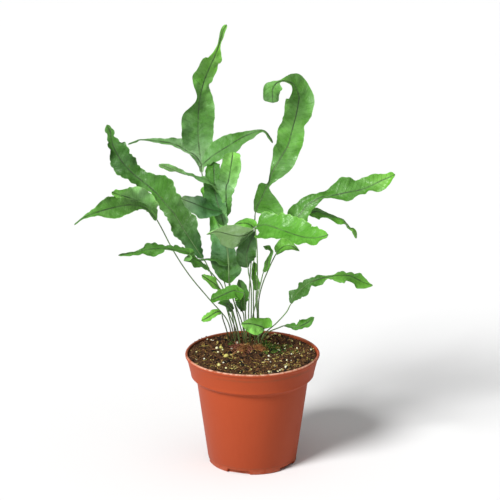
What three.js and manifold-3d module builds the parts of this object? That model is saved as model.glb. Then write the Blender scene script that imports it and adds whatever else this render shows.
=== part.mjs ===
// Potted golden polypody fern: thin plastic nursery pot, potting mix, creeping rhizome and fronds.
// Millimetres, +Z up, origin at the centre of the pot's underside, the front of the plant towards -Y.

import * as THREE from "three";
import { mergeVertices } from "three/addons/utils/BufferGeometryUtils.js";
import Module from "manifold-3d";

const wasm = await Module();
wasm.setup();

// Pot, outside
const potHeight = 92;
const rimRadius = 54;
const lipHeight = 2.6;
const collarTopRadius = 52.8;
const collarFootRadius = 49.6;
const shoulderHeight = 71.6;
const bodyTopRadius = 45;
const footRadius = 35.9;
const footBevel = 1;
const footBandHeight = 5;
const footBandStep = 0.4;
const lipBevel = 0.7;
const lipUnderside = 0.5;
const tuckHeight = 1.6;
const wall = 1;
const floorThickness = 2.2;
const potSides = 40;

// Drain notches through the foot corner
const notchCount = 5;
const notchWidth = 19;
const notchHeight = 3;
const notchReach = 6.8;
const notchTurn = -18.5;

// Potting mix
const clearance = 0.35;
const troughClearance = 0.7;
const soilEdgeHeight = 90.2;
const soilEdgeRound = 0.4;
const soilRise = 1.5;
const crown = new THREE.Vector2(-3, 24);
const crownSpread = 20;
const soilGrain = 0.55;
const soilRings = [47, 41, 34, 26, 18, 9];

// Fronds
const stipeRadius = 0.8;
const stipeSides = 5;
const stipeStep = 12;
const bladeThickness = 0.8;
const ribRidge = 0.6;
const leastHalfWidth = 0.6;
const calmHalfWidth = 5;
const marginLag = 2.1;
const footDrop = 0.35;
const holeSides = 6;
const holeClearance = 0.65;

// Rhizome: centre lines of its two arms with their radii
const rhizomeSides = 9;
const rhizomeArms = [
  { radius: 3.3, path: [[-9, 2, 90.6], [-7.5, 6.5, 91.6], [-5, 11, 90.6], [-1.5, 14, 86.5]] },
  { radius: 2.6, path: [[8.5, 7, 91.2], [6, 9.5, 91.6], [2.5, 12, 90], [-2, 14, 86.5]] },
];

const green = {
  bright: 0x8fb63a,
  fresh: 0x6f9a3c,
  mid: 0x5b8552,
  blue: 0x4f7a68,
  dark: 0x35584a,
  sage: 0x8ba085,
};

// Each rib row is a point on the midrib and the blade's half widths there: x, y, z, left, right,
// seen with the blade's upper face to the viewer and its tip away. A face is the direction of that
// upper face at the base, and faceTip at the tip. Cup lifts both margins, wave ruffles them.
const fronds = [
  // Tall three-lobed frond, top centre
  {
    name: "frond_01",
    color: green.mid,
    stipe: [[-13, 33, 84], [-14, 33, 95], [-17, 33, 115], [-25, 34, 150], [-33, 34, 188], [-38, 33, 218]],
    blades: [
      {
        face: [0, -0.94, 0.34],
        faceTip: [0.55, -0.8, 0.2],
        rib: [
          [-40.5, 32, 233, 1.5, 1.5], [-41, 32.5, 240.5, 3.5, 3.5], [-43, 33, 259, 13, 11.5],
          [-43, 31.5, 278, 13.5, 12.5], [-42, 30.5, 290, 6, 12], [-41, 30, 296.5, 4, 10.5],
          [-39, 29, 304.5, 8.5, 5], [-37, 28, 311, 11, 6.5], [-32, 26, 323, 10.5, 6.5],
          [-30, 25.5, 327, 5, 7], [-26.5, 24.5, 336.5, 1.5, 1.5], [-23.5, 23, 347.5, 3, 2],
          [-20, 23, 354, 1.5, 1],
        ],
        cup: 0.25,
        wave: 1.6,
        waves: 4.5,
        cells: [17, 4],
      },
      {
        face: [0, -0.75, 0.65],
        rib: [
          [-40.5, 32, 239, 3, 3.5], [-45, 31, 246.5, 2, 8.5], [-51.5, 30.5, 250.5, 2, 11],
          [-64, 28.5, 257.5, 2, 5], [-86.5, 24, 261.5, 0.6, 1], [-92, 22.5, 260.5, 1, 1.5],
          [-98.5, 21, 258.5, 0.6, 1],
        ],
        cup: -0.2,
        wave: 0.9,
        waves: 2.5,
        cells: [9, 4],
      },
      {
        face: [0.1, -0.85, 0.5],
        faceTip: [0.2, -0.6, 0.75],
        rib: [
          [-40, 32, 239, 2.5, 2.5], [-32, 24.5, 248, 8, 5.5], [-22, 18.5, 256, 10, 7.5],
          [-7.5, 10, 267, 4, 7.5], [7.5, 4, 274, 1, 2], [13.5, 2, 269, 1, 1.5], [16, 1, 264.5, 0.6, 1],
        ],
        cup: 0.2,
        wave: 1,
        waves: 3,
        cells: [9, 4],
      },
    ],
  },
  // Blue-green frond with four lobes in front of the centre
  {
    name: "frond_02",
    color: green.blue,
    stipe: [
      [-6.5, 27.5, 84], [-7.5, 26, 95], [-11, 20, 112],
      [-18, 3, 149], [-19, -3, 172], [-21, -5.5, 193],
    ],
    blades: [
      {
        face: [0.1, -0.95, 0.2],
        rib: [
          [-22.5, -6, 200, 2, 2], [-24, -7, 206.5, 5, 5], [-28, -4, 220, 8.5, 6.5],
          [-29.5, 1, 226.5, 8.5, 6.5], [-30.5, 10, 244, 5.5, 5], [-30.5, 9, 247.5, 3, 3],
        ],
        cup: 0.2,
        wave: 1.2,
        waves: 3,
        cells: [12, 4],
      },
      {
        face: [-0.1, -0.7, 0.7],
        rib: [
          [-24, -7, 211, 2.5, 3], [-34, -12, 214.5, 9.5, 9.5], [-39.5, -15.5, 217.5, 11.5, 7.5],
          [-44.5, -18, 220.5, 10.5, 7], [-55.5, -24, 226.5, 2, 1.5],
        ],
        cup: 0.35,
        wave: 0.9,
        waves: 2,
        cells: [9, 4],
      },
      {
        face: [0, -0.55, 0.8],
        faceTip: [0, 0.6, 0.75],
        rib: [
          [-28, 0, 226, 5, 3.5], [-35.5, -7, 237, 6.5, 5.5], [-54.5, -14, 244, 4.5, 4.5],
          [-65.5, -18, 250, 6, 7], [-72, -20, 253, 2.5, 3.5],
        ],
        cup: 0.2,
        wave: 0.6,
        waves: 2,
        cells: [9, 4],
      },
      {
        face: [0.15, -0.93, 0.3],
        rib: [
          [-22.5, -4.5, 204.5, 1.5, 2.5], [-20.5, -5, 211, 2.5, 5], [-20.5, -5, 217.5, 3, 5],
          [-20.5, -8, 231.5, 7.5, 6], [-18.5, -9, 237.5, 8, 7.5], [-15.5, -11, 257.5, 7, 6.5],
          [-15.5, -11, 260.5, 4.5, 4],
        ],
        cup: 0.3,
        wave: 0.8,
        waves: 2,
        cells: [8, 4],
      },
    ],
  },
  // Strap frond behind frond 2, with a small lobe at its left
  {
    name: "frond_03",
    color: green.blue,
    stipe: [[-6, 32, 84], [-6.5, 31, 95], [-9, 26, 110], [-16, 17, 132], [-18.5, 16.5, 142]],
    blades: [
      {
        face: [0.15, -0.95, 0.1],
        rib: [
          [-19, 16, 145, 1.5, 1.5], [-19, 15.5, 150.5, 7.5, 8], [-19, 15.5, 156, 11.5, 10.5],
          [-20, 17, 166.5, 13, 6], [-20.5, 18, 172, 12, 7], [-24.5, 21, 185.5, 10, 8.5],
          [-29, 24.5, 196, 6, 6.5], [-36.5, 29, 217.5, 5, 5], [-38, 30, 222.5, 3, 3],
        ],
        cup: 0.15,
        wave: 1.1,
        waves: 3.5,
        cells: [13, 4],
      },
      {
        face: [0, 0.05, 1],
        rib: [
          [-20, 15.5, 161.5, 3, 3], [-28, 14, 165.5, 4.5, 4.5], [-36, 13, 166.5, 3.5, 3.5],
          [-44, 12, 166, 0.6, 0.6],
        ],
        cup: -0.3,
        wave: 0.3,
        waves: 1,
        cells: [6, 4],
      },
    ],
  },
  // Large left frond with one lobe on its right
  {
    name: "frond_04",
    color: green.mid,
    stipe: [
      [-10, 30.5, 84], [-12, 30.5, 95], [-17, 30, 110],
      [-25, 28, 129], [-33, 25, 149], [-37.5, 23.5, 160],
    ],
    blades: [
      {
        face: [-0.1, -0.85, 0.5],
        rib: [
          [-40, 24, 163.5, 1.5, 1.5], [-44.5, 25.5, 170, 5, 5], [-56, 29, 187.5, 9, 13],
          [-62, 31, 197.5, 7, 12.5], [-68, 32.5, 204.5, 6, 13], [-76.5, 35, 214, 3.5, 15.5],
          [-81.5, 36.5, 218.5, 4, 14.5], [-86.5, 38, 222.5, 5.5, 9.5], [-96, 40.5, 229.5, 7.5, 8.5],
          [-105.5, 42.5, 240, 9, 10], [-111.5, 44, 251, 4, 10], [-112.5, 44.5, 255.5, 3, 5],
          [-113.5, 45, 259.5, 3, 2.5], [-114, 45, 263.5, 4, 3.5], [-116.5, 45, 269, 1.5, 1.5],
        ],
        cup: 0.2,
        wave: 1.5,
        waves: 5,
        cells: [17, 4],
      },
    ],
  },
  // Bright left frond, forked
  {
    name: "frond_05",
    color: green.bright,
    stipe: [
      [-16, 29, 84], [-17, 28, 95], [-21, 26, 111], [-35, 18, 131],
      [-50, 7, 154], [-62, -3, 177], [-71, -10, 198],
    ],
    blades: [
      {
        face: [0, -0.9, 0.45],
        rib: [
          [-75.5, -14, 208, 1.5, 2], [-79.5, -20, 216, 2, 7.5], [-84.5, -24.5, 222, 4.5, 10],
          [-90.5, -28.5, 226.5, 5, 10.5], [-96.5, -32.5, 230, 5, 7.5], [-106, -39.5, 235, 2, 3],
          [-107.5, -41, 236.5, 0.6, 0.6],
        ],
        cup: 0.25,
        wave: 1.8,
        waves: 3.5,
        cells: [12, 4],
      },
      {
        face: [0.1, -0.85, 0.5],
        rib: [
          [-75, -16, 207.5, 2, 1.5], [-83, -26, 219.5, 1.5, 2.5], [-94, -35, 224.5, 6.5, 4.5],
          [-107.5, -44, 224.5, 10.5, 9], [-120, -51, 222.5, 3.5, 4], [-129, -55, 219.5, 1, 1],
          [-135.5, -58, 215, 0.6, 0.6],
        ],
        cup: 0.3,
        wave: 0.9,
        waves: 3,
        cells: [12, 4],
      },
    ],
  },
  // Narrow wavy frond lying out to the left
  {
    name: "frond_06",
    color: green.mid,
    stipe: [[-10, 25.5, 84], [-10.5, 24, 95], [-16, 16, 120], [-24, 3, 146], [-29, -3.5, 155.5]],
    blades: [
      {
        face: [0.1, -0.55, 0.85],
        rib: [
          [-34.5, -6, 163, 3.5, 2], [-41.5, -11.5, 171.5, 7, 3], [-46, -14.5, 174, 8, 3],
          [-49.5, -17.5, 178, 7, 4], [-52, -20, 182, 5, 4.5], [-68, -28.5, 187.5, 3, 3],
          [-72, -30.5, 188, 6, 3.5], [-80, -34, 188.5, 7, 3.5], [-87, -36.5, 187.5, 5, 1.5],
          [-103.5, -43, 186.5, 1, 0.6],
        ],
        cup: 0.3,
        wave: 1.5,
        waves: 4,
        cells: [14, 4],
      },
    ],
  },
  // Dark frond at the centre
  {
    name: "frond_07",
    color: green.dark,
    stipe: [[-2.5, 26.5, 84], [-2.5, 25.5, 95], [-1, 20, 113], [-1, 10, 142], [-3, 4.5, 157]],
    blades: [
      {
        face: [0.1, -0.95, 0.25],
        rib: [
          [-3.5, 3, 162.5, 2, 1.5], [-4.5, 1.5, 168, 9, 5.5], [-4.5, 0.5, 174.5, 9.5, 7.5],
          [-3, -0.5, 181, 9, 7], [-1, -1.5, 186.5, 5, 5.5], [2.5, -3, 194.5, 0.6, 0.6],
        ],
        cup: 0.35,
        wave: 1,
        waves: 2,
        cells: [9, 4],
      },
    ],
  },
  // Folded sage frond at the centre
  {
    name: "frond_08",
    color: green.sage,
    stipe: [
      [-2, 31.5, 84], [-2.5, 30.5, 95], [-3, 26.5, 118],
      [-1.5, 21, 155], [0.5, 15, 176], [1, 8.5, 188],
    ],
    blades: [
      {
        face: [0, 0.85, 0.45],
        rib: [
          [0.5, 5.5, 192.5, 3.5, 2], [-4.5, 1, 190.5, 8, 4], [-13, -8.5, 192, 18.5, 11],
          [-27.5, -17.5, 198, 8.5, 3.5], [-36, -20, 196.5, 1.5, 0.6],
        ],
        cup: -0.3,
        wave: 0.8,
        waves: 2,
        cells: [9, 4],
      },
      {
        face: [0.1, -0.85, 0.5],
        rib: [
          [1, 4.5, 194.5, 2, 2], [-2.5, 1, 198.5, 4.5, 5], [-7.5, -2.5, 200.5, 4, 3],
          [-14.5, -6.5, 200.5, 0.6, 0.6],
        ],
        cup: 0.3,
        wave: 0.5,
        waves: 1,
        cells: [6, 4],
      },
    ],
  },
  // Tall right frond, pinched low down and curled over at its tip
  {
    name: "frond_09",
    color: green.fresh,
    stipe: [[2, 29.5, 84], [2, 28.5, 95], [1, 27, 118], [1, 24, 153], [2, 20, 184], [2, 17.5, 199]],
    blades: [
      {
        face: [0, -0.95, 0.25],
        faceTip: [0.1, -0.85, 0.5],
        rib: [
          [2.5, 16, 204.5, 1.5, 2], [4.5, 15.5, 210.5, 3.5, 20], [7, 14.5, 215.5, 5.5, 19.5],
          [11, 13.5, 225, 6.5, 4], [13, 13, 228.5, 1.5, 2], [15, 12, 236.5, 1.5, 8],
          [19.5, 12, 245, 5.5, 11.5], [24, 11.5, 253, 8.5, 12], [28, 11, 260.5, 9.5, 11],
          [31, 9.5, 272.5, 11, 10], [32.5, 9, 278.5, 10, 8.5], [34, 8.5, 284.5, 10, 11],
          [36, 7, 296, 10.5, 12.5], [36, 5.5, 301.5, 9.5, 11], [32, 1.5, 311, 3, 9.5],
          [24.5, -6.5, 315.5, 1, 2.5], [20, -10.5, 315.5, 1.5, 1.5], [17.5, -13, 314, 6, 4.5],
          [15.5, -16, 310.5, 6, 7.5], [15.5, -18.5, 302.5, 5, 7], [15.5, -19, 301, 3, 3.5],
        ],
        cup: 0.2,
        wave: 1.3,
        waves: 6,
        cells: [28, 4],
      },
    ],
  },
  // Large bright frond at the front right
  {
    name: "frond_10",
    color: green.bright,
    stipe: [[5, 22, 84], [5, 20.5, 95], [4, 17, 122], [4, 2, 160], [3.5, -11, 185], [2.5, -16, 197]],
    blades: [
      {
        face: [0.1, -0.75, 0.65],
        rib: [
          [3, -18, 202, 2.5, 3.5], [5, -20.5, 203.5, 8.5, 9], [9.5, -24.5, 205.5, 10.5, 13.5],
          [14.5, -28.5, 205.5, 10.5, 19], [24.5, -38, 204.5, 14, 11.5], [34, -46.5, 203.5, 14, 9.5],
          [39.5, -51.5, 203.5, 12, 10], [44.5, -55, 204, 10, 7], [49, -58, 205, 8.5, 7],
          [55.5, -61, 207.5, 5, 4], [57.5, -62, 208.5, 2.5, 2.5],
        ],
        cup: 0.2,
        wave: 1.6,
        waves: 4,
        cells: [13, 6],
      },
    ],
  },
  // Right frond with a long blade, a lower lobe and a basal lobe
  {
    name: "frond_11",
    color: green.fresh,
    stipe: [[6, 28.5, 84], [6, 27.5, 95], [5, 25, 124], [8, 22, 141.5], [14, 19, 158], [17.5, 18, 166]],
    blades: [
      {
        face: [-0.1, -0.75, 0.65],
        rib: [
          [19.5, 17, 170, 2, 2.5], [27.5, 18, 182, 5, 6.5], [36.5, 19.5, 199, 9, 8.5],
          [40.5, 20, 204.5, 9.5, 7], [44.5, 20.5, 209.5, 8, 7.5], [54.5, 21.5, 215, 5.5, 2.5],
          [61, 22.5, 215.5, 8, 2.5], [73, 23.5, 218, 12.5, 9], [84.5, 24.5, 220, 10, 5],
          [88.5, 25, 221, 9.5, 7], [92.5, 25.5, 222.5, 9.5, 5], [103.5, 27, 227.5, 6, 8],
          [114, 28, 232, 2, 2.5],
        ],
        cup: 0.25,
        wave: 1.6,
        waves: 5,
        cells: [17, 4],
      },
      {
        face: [0, -0.7, 0.7],
        rib: [
          [19.5, 17, 170, 1.5, 3], [22, 15, 173.5, 4, 4], [26, 12.5, 177, 5, 6.5], [31, 10, 178, 3, 7],
          [37.5, 6, 175, 0.6, 1],
        ],
        cup: 0.3,
        wave: 0.7,
        waves: 2,
        cells: [7, 4],
      },
      {
        face: [0.1, -0.2, 1],
        rib: [
          [37, 19.5, 198.5, 3.5, 2.5], [43, 23, 202, 3.5, 2], [48, 25.5, 201.5, 5, 3],
          [52.5, 28.5, 201.5, 10.5, 6.5], [57.5, 31, 199, 7, 5.5], [63.5, 33.5, 195.5, 4.5, 5],
          [72.5, 37, 192.5, 9, 5.5], [79, 39.5, 184.5, 2, 2], [82, 40.5, 182.5, 2.5, 3],
          [85, 42, 175, 1.5, 1.5],
        ],
        cup: -0.2,
        wave: 0.8,
        waves: 2.5,
        cells: [9, 4],
      },
    ],
  },
  // Thin wavy young frond right of the centre
  {
    name: "frond_12",
    color: green.fresh,
    stipe: [[-1.5, 22, 84], [-1.5, 21, 95], [0, 15, 115], [4.5, 7.5, 138], [7.5, 6.5, 152]],
    blades: [
      {
        face: [-0.5, -0.8, 0.2],
        rib: [
          [9, 6.5, 157.5, 1, 1], [11.5, 6, 161.5, 2, 2], [12, 6, 166, 2, 3], [15, 5, 174, 1, 2],
          [14, 4, 177, 1.5, 1.5], [11.5, 2.5, 179, 2.5, 3], [8.5, 1, 180.5, 0.6, 1],
        ],
        cup: 0.2,
        wave: 0.4,
        waves: 2,
        cells: [9, 2],
      },
    ],
  },
  // Narrow upright frond behind frond 7
  {
    name: "frond_13",
    color: green.mid,
    stipe: [[1.5, 25, 84], [2, 24.5, 95], [4, 22, 115], [3, 18, 127], [3, 15, 137]],
    blades: [
      {
        face: [0.3, -0.9, 0.2],
        rib: [
          [3, 13, 140, 1.5, 1], [3, 12, 143.5, 2.5, 3.5], [1, 10.5, 154.5, 3, 2],
          [1.5, 10.5, 160, 3, 2.5], [1.5, 11, 164.5, 1.5, 1.5],
        ],
        cup: 0.3,
        wave: 0.5,
        waves: 2,
        cells: [7, 4],
      },
    ],
  },
  // Small bright frond left of the centre
  {
    name: "frond_14",
    color: green.bright,
    stipe: [[-14, 23, 84], [-14.5, 21.5, 95], [-17, 14, 110], [-21, 4, 129], [-24, -4, 142]],
    blades: [
      {
        face: [0, -0.7, 0.7],
        rib: [
          [-25.5, -7, 147.5, 2, 1], [-31, -11.5, 154, 5, 3.5], [-38, -15, 160, 4, 2.5],
          [-40, -16, 162, 2, 1.5],
        ],
        cup: 0.3,
        wave: 0.4,
        waves: 1.5,
        cells: [7, 4],
      },
    ],
  },
  // Bright oval young frond at the front
  {
    name: "frond_15",
    color: green.bright,
    stipe: [[-5, 19.5, 84], [-5, 18, 95], [-5, 10, 111], [-6, -8, 134], [-6.5, -14, 144]],
    blades: [
      {
        face: [0, -0.6, 0.8],
        rib: [
          [-7, -17, 147.5, 2.5, 1.5], [-11.5, -18.5, 149, 9.5, 4], [-16, -20, 150, 9.5, 6],
          [-29.5, -26, 145.5, 4, 4], [-33, -27, 144.5, 2.5, 2],
        ],
        cup: 0.25,
        wave: 0.4,
        waves: 1.5,
        cells: [9, 4],
      },
    ],
  },
  // Dark ruffled frond behind frond 15
  {
    name: "frond_16",
    color: green.dark,
    stipe: [[-6.5, 23.5, 84], [-6.5, 22.5, 95], [-6.5, 21, 107], [-7, 18.5, 117]],
    blades: [
      {
        face: [0.3, -0.9, 0.2],
        rib: [
          [-8, 17, 121, 2, 2.5], [-9, 14, 130, 4.5, 4.5], [-8, 12, 138, 5.5, 5], [-10, 11, 145, 4.5, 5],
          [-11, 10, 150, 0.8, 0.8],
        ],
        cup: 0.2,
        wave: 0.9,
        waves: 2.5,
        cells: [8, 4],
      },
    ],
  },
  // Small dark frond below frond 15
  {
    name: "frond_17",
    color: green.dark,
    stipe: [[-10, 20.5, 84], [-10.5, 19, 95], [-12, 12, 108], [-15, 3.5, 123]],
    blades: [
      {
        face: [0, -0.8, 0.55],
        rib: [
          [-16, 1, 127, 2, 2], [-19, -4, 133, 4.5, 3.5], [-23, -8, 136, 4, 3],
          [-27.5, -11, 137, 0.6, 0.6],
        ],
        cup: 0.2,
        wave: 0.5,
        waves: 1.5,
        cells: [6, 4],
      },
    ],
  },
  // Small bright ruffled frond at the lower left
  {
    name: "frond_18",
    color: green.bright,
    stipe: [[-19, 26, 84], [-19.5, 25.5, 94], [-21, 22, 103], [-24, 16, 115]],
    blades: [
      {
        face: [-0.1, -0.75, 0.65],
        rib: [
          [-25, 13, 121.5, 1.5, 1.5], [-29, 9.5, 122.5, 3, 3], [-37.5, 4.5, 118.5, 3.5, 3],
          [-41, 3, 117.5, 2, 1.5],
        ],
        cup: 0.2,
        wave: 0.7,
        waves: 2.5,
        cells: [7, 4],
      },
    ],
  },
  // Small round frond at the front foot
  {
    name: "frond_19",
    color: green.mid,
    stipe: [[1.5, 18.5, 84], [1.8, 17.5, 93], [4, 11, 100], [7.5, 5, 106]],
    blades: [
      {
        face: [0.1, -0.85, 0.5],
        rib: [
          [9.5, 2, 110.5, 2, 1.5], [7.5, -0.5, 113.5, 5, 7], [-0.5, -6.5, 118, 9, 4.5],
          [-9, -12, 120, 1.5, 1],
        ],
        cup: 0.3,
        wave: 0.4,
        waves: 1.5,
        cells: [8, 4],
      },
    ],
  },
  // Right frond arching out low, pinched half way
  {
    name: "frond_20",
    color: green.mid,
    stipe: [[6.5, 18.5, 84], [6.8, 17.5, 93], [10, 13.5, 103], [19, 9, 113], [27, 4, 124], [30, 0.8, 131]],
    blades: [
      {
        face: [0, -0.5, 0.87],
        rib: [
          [31, -1, 133.5, 1, 1.5], [32, -1.5, 137, 2.5, 2.5], [33.5, -2, 139.5, 6, 4.5],
          [38.5, -3.5, 146, 5, 10], [41.5, -4.5, 149, 4, 10.5], [45, -5.5, 152, 4, 4.5],
          [52, -7.5, 155.5, 2.5, 9], [59, -9.5, 158, 1, 2], [65, -12, 160, 2, 7.5], [69, -14, 161, 4, 7],
          [73, -15.5, 161.5, 3, 8], [77, -17, 161.5, 4.5, 11], [80.5, -19, 160.5, 4, 8.5],
          [84.5, -20, 158.5, 5.5, 8], [88.5, -21.5, 157, 3.5, 7], [94.5, -23, 155.5, 1, 1.5],
        ],
        cup: 0.25,
        wave: 1.3,
        waves: 5,
        cells: [17, 4],
      },
    ],
  },
  // Small low frond at the right
  {
    name: "frond_21",
    color: green.fresh,
    stipe: [[8, 25, 84], [8.5, 24, 94], [13, 19.5, 102], [21, 15.5, 107]],
    blades: [
      {
        face: [0, -0.7, 0.7],
        rib: [
          [26, 12.5, 110, 1, 1], [31.5, 9, 110.5, 4, 2], [34.5, 7, 110.5, 2.5, 4],
          [37.5, 5.5, 111.5, 4.5, 4], [44, 2, 116, 3, 5.5], [49.5, 0, 121.5, 1, 1.5],
        ],
        cup: 0.25,
        wave: 0.8,
        waves: 2,
        cells: [8, 4],
      },
    ],
  },
];

// Turns a closed geometry into a solid, with its seams merged and its flat slivers dropped
function solidOf(geometry) {
  geometry.deleteAttribute("normal");
  geometry.deleteAttribute("uv");
  const merged = mergeVertices(geometry, 1e-4);
  const kept = [];
  for (let i = 0; i < merged.index.count; i += 3) {
    const [a, b, c] = [0, 1, 2].map((k) => merged.index.getX(i + k));
    if (a !== b && b !== c && c !== a) kept.push(a, b, c);
  }
  const mesh = new wasm.Mesh({
    numProp: 3,
    vertProperties: Float32Array.from(merged.attributes.position.array),
    triVerts: Uint32Array.from(kept),
  });
  return new wasm.Manifold(mesh);
}

function geometryOf(solid) {
  const { vertProperties, triVerts } = solid.getMesh();
  const geometry = new THREE.BufferGeometry();
  geometry.setAttribute("position", new THREE.BufferAttribute(vertProperties, 3));
  geometry.setIndex(new THREE.BufferAttribute(triVerts, 1));
  geometry.computeVertexNormals();
  return geometry;
}

function vector([x, y, z]) {
  return new THREE.Vector3(x, y, z);
}

function smoothCurve(points) {
  return new THREE.CatmullRomCurve3(points.map(vector), false, "catmullrom", 0.5);
}

// A stretch of a longer curve
class Stretch extends THREE.Curve {
  constructor(whole, from, to) {
    super();
    Object.assign(this, { whole, from, to });
  }

  getPoint(t) {
    return this.whole.getPointAt(this.from + (this.to - this.from) * t);
  }
}

function roundShape(radius, sides) {
  const corners = Array.from({ length: sides }, (_, i) => {
    const angle = (2 * Math.PI * i) / sides;
    return new THREE.Vector2(radius * Math.cos(angle), radius * Math.sin(angle));
  });
  return new THREE.Shape(corners);
}

function tube(path, radius, sides, steps) {
  const settings = { steps, bevelEnabled: false, extrudePath: path };
  return solidOf(new THREE.ExtrudeGeometry(roundShape(radius, sides), settings));
}

// Revolves a profile of [radius, height] about +Z
function revolve(profile, sides) {
  const points = profile.map(([radius, height]) => new THREE.Vector2(radius, height));
  return new THREE.LatheGeometry(points, sides).rotateX(Math.PI / 2);
}

// The blade's grid on both faces, split along the same diagonals, closed along its margins
function blade({ rib, face, faceTip = face, cup, wave, waves, cells: [along, across] }) {
  const spine = smoothCurve(rib);
  const halves = smoothCurve(rib.map(([, , , left, right]) => [left, right, 0]));
  const top = [];
  const under = [];
  for (let i = 0; i <= along; i++) {
    const u = i / along;
    const t = spine.getUtoTmapping(u);
    const tangent = spine.getTangent(t);
    const normal = vector(face).lerp(vector(faceTip), u);
    normal.addScaledVector(tangent, -normal.dot(tangent)).normalize();
    const side = new THREE.Vector3().crossVectors(normal, tangent);
    const half = halves.getPoint(t);
    for (let j = 0; j <= across; j++) {
      const v = 1 - (2 * j) / across;
      const reach = Math.abs(v) * Math.max(leastHalfWidth, v > 0 ? half.x : half.y);
      const lift = cup * Math.abs(v);
      const phase = 2 * Math.PI * waves * u + (v > 0 ? 0 : marginLag);
      const fade = Math.min(1, reach / calmHalfWidth);
      const ruffle = wave * v * v * fade * Math.sin(phase);
      const point = spine.getPoint(t);
      point.addScaledVector(side, Math.sign(v) * reach * Math.cos(lift));
      point.addScaledVector(normal, reach * Math.sin(lift) + ruffle);
      const ridge = v === 0 ? ribRidge : 0;
      top.push(point.clone().addScaledVector(normal, bladeThickness / 2));
      under.push(point.clone().addScaledVector(normal, -bladeThickness / 2 - ridge));
    }
  }
  const count = top.length;
  const width = across + 1;
  const triangles = [];
  const quad = (a, b, c, d) => triangles.push(a, b, c, a, c, d);
  for (let i = 0; i < along; i++) {
    for (let j = 0; j < across; j++) {
      const a = i * width + j;
      const b = a + width;
      triangles.push(a, a + 1, b + 1, a, b + 1, b);
      triangles.push(count + a, count + b + 1, count + a + 1, count + a, count + b, count + b + 1);
    }
    const left = i * width;
    const right = left + across;
    quad(left, left + width, left + width + count, left + count);
    quad(right, right + count, right + width + count, right + width);
  }
  const tip = along * width;
  for (let j = 0; j < across; j++) {
    quad(j, j + count, j + 1 + count, j + 1);
    quad(tip + j, tip + j + 1, tip + j + 1 + count, tip + j + count);
  }
  const geometry = new THREE.BufferGeometry();
  const coordinates = [...top, ...under].flatMap((point) => point.toArray());
  geometry.setAttribute("position", new THREE.Float32BufferAttribute(coordinates, 3));
  geometry.setIndex(triangles);
  return solidOf(geometry);
}

// The stem's path runs from its foot in the potting mix to a little way up the midrib
function stipePath({ stipe, blades: [first] }) {
  return smoothCurve([...stipe, ...first.rib.slice(0, 2)]);
}

function stipeSteps(length) {
  return Math.max(4, Math.round(length / stipeStep));
}

function frond(spec) {
  const path = stipePath(spec);
  const length = path.getLength();
  const stem = tube(new Stretch(path, footDrop / length, 1), stipeRadius, stipeSides, stipeSteps(length));
  return spec.blades.reduce((whole, part) => whole.add(blade(part)), stem);
}

// The plain hole that a stem stands in: two of the stem's own steps, with clearance all round
function stemHole(spec) {
  const path = stipePath(spec);
  const top = 2 / stipeSteps(path.getLength());
  return tube(new Stretch(path, 0, top), stipeRadius + holeClearance, holeSides, 2);
}

// The pot's inner profile from the lip down to the floor, [radius, height]
const innerTop = collarTopRadius - wall;
const collarInside = collarFootRadius - wall;
const bodyInside = bodyTopRadius - wall;
const potInside = [
  [innerTop, potHeight - lipHeight],
  [collarInside, shoulderHeight + 3 * tuckHeight],
  [collarInside - tuckHeight, shoulderHeight + 1.8 * tuckHeight],
  [bodyInside + 0.4 * tuckHeight, shoulderHeight + 0.7 * tuckHeight],
  [bodyInside, shoulderHeight - 0.7 * tuckHeight],
  [footRadius - wall, footBandHeight + footBevel],
  [footRadius - wall - footBevel, floorThickness],
];

function makePot() {
  const outside = [
    [0, 0],
    [footRadius - footBevel, 0],
    [footRadius, footBevel],
    [footRadius, footBandHeight - footBandStep],
    [footRadius + footBandStep, footBandHeight],
    [bodyTopRadius, shoulderHeight - tuckHeight],
    [bodyTopRadius + 0.6 * tuckHeight, shoulderHeight],
    [collarFootRadius - tuckHeight, shoulderHeight + 0.4 * tuckHeight],
    [collarFootRadius, shoulderHeight + 1.5 * tuckHeight],
    [collarFootRadius, shoulderHeight + 2.5 * tuckHeight],
    [collarTopRadius, potHeight - lipHeight - lipUnderside],
    [rimRadius - lipUnderside, potHeight - lipHeight],
    [rimRadius, potHeight - lipHeight + lipBevel],
    [rimRadius, potHeight - lipBevel],
    [rimRadius - lipBevel, potHeight],
    [innerTop + lipBevel, potHeight],
    [innerTop, potHeight - lipBevel],
  ];
  let solid = solidOf(revolve([...outside, ...potInside, [0, floorThickness]], potSides));
  for (let i = 0; i < notchCount; i++) {
    const notch = new THREE.BoxGeometry(notchWidth, notchReach, 2 * notchHeight);
    notch.translate(0, -footRadius, 0);
    notch.rotateZ(THREE.MathUtils.degToRad(notchTurn + (360 * i) / notchCount));
    solid = solid.subtract(solidOf(notch));
  }
  return solid;
}

function soilLevel(x, y) {
  const away = Math.hypot(x - crown.x, y - crown.y) / crownSpread;
  const grain = Math.sin(0.61 * x + 1.3) * Math.cos(0.53 * y - 0.4) + 0.5 * Math.sin(1.27 * y + 0.8 * x);
  return soilEdgeHeight + soilRise * Math.exp(-away * away) + soilGrain * grain;
}

function rhizomeArm({ radius, path }, grow) {
  const curve = smoothCurve(path);
  const arm = tube(curve, radius + grow, rhizomeSides, 6);
  return [0, 1].reduce((solid, t) => {
    const end = new THREE.SphereGeometry(radius + grow, rhizomeSides, 6);
    end.translate(...curve.getPoint(t).toArray());
    return solid.add(solidOf(end));
  }, arm);
}

function makeRhizome(grow = 0) {
  const [first, second] = rhizomeArms.map((arm) => rhizomeArm(arm, grow));
  return first.add(second);
}

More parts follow.
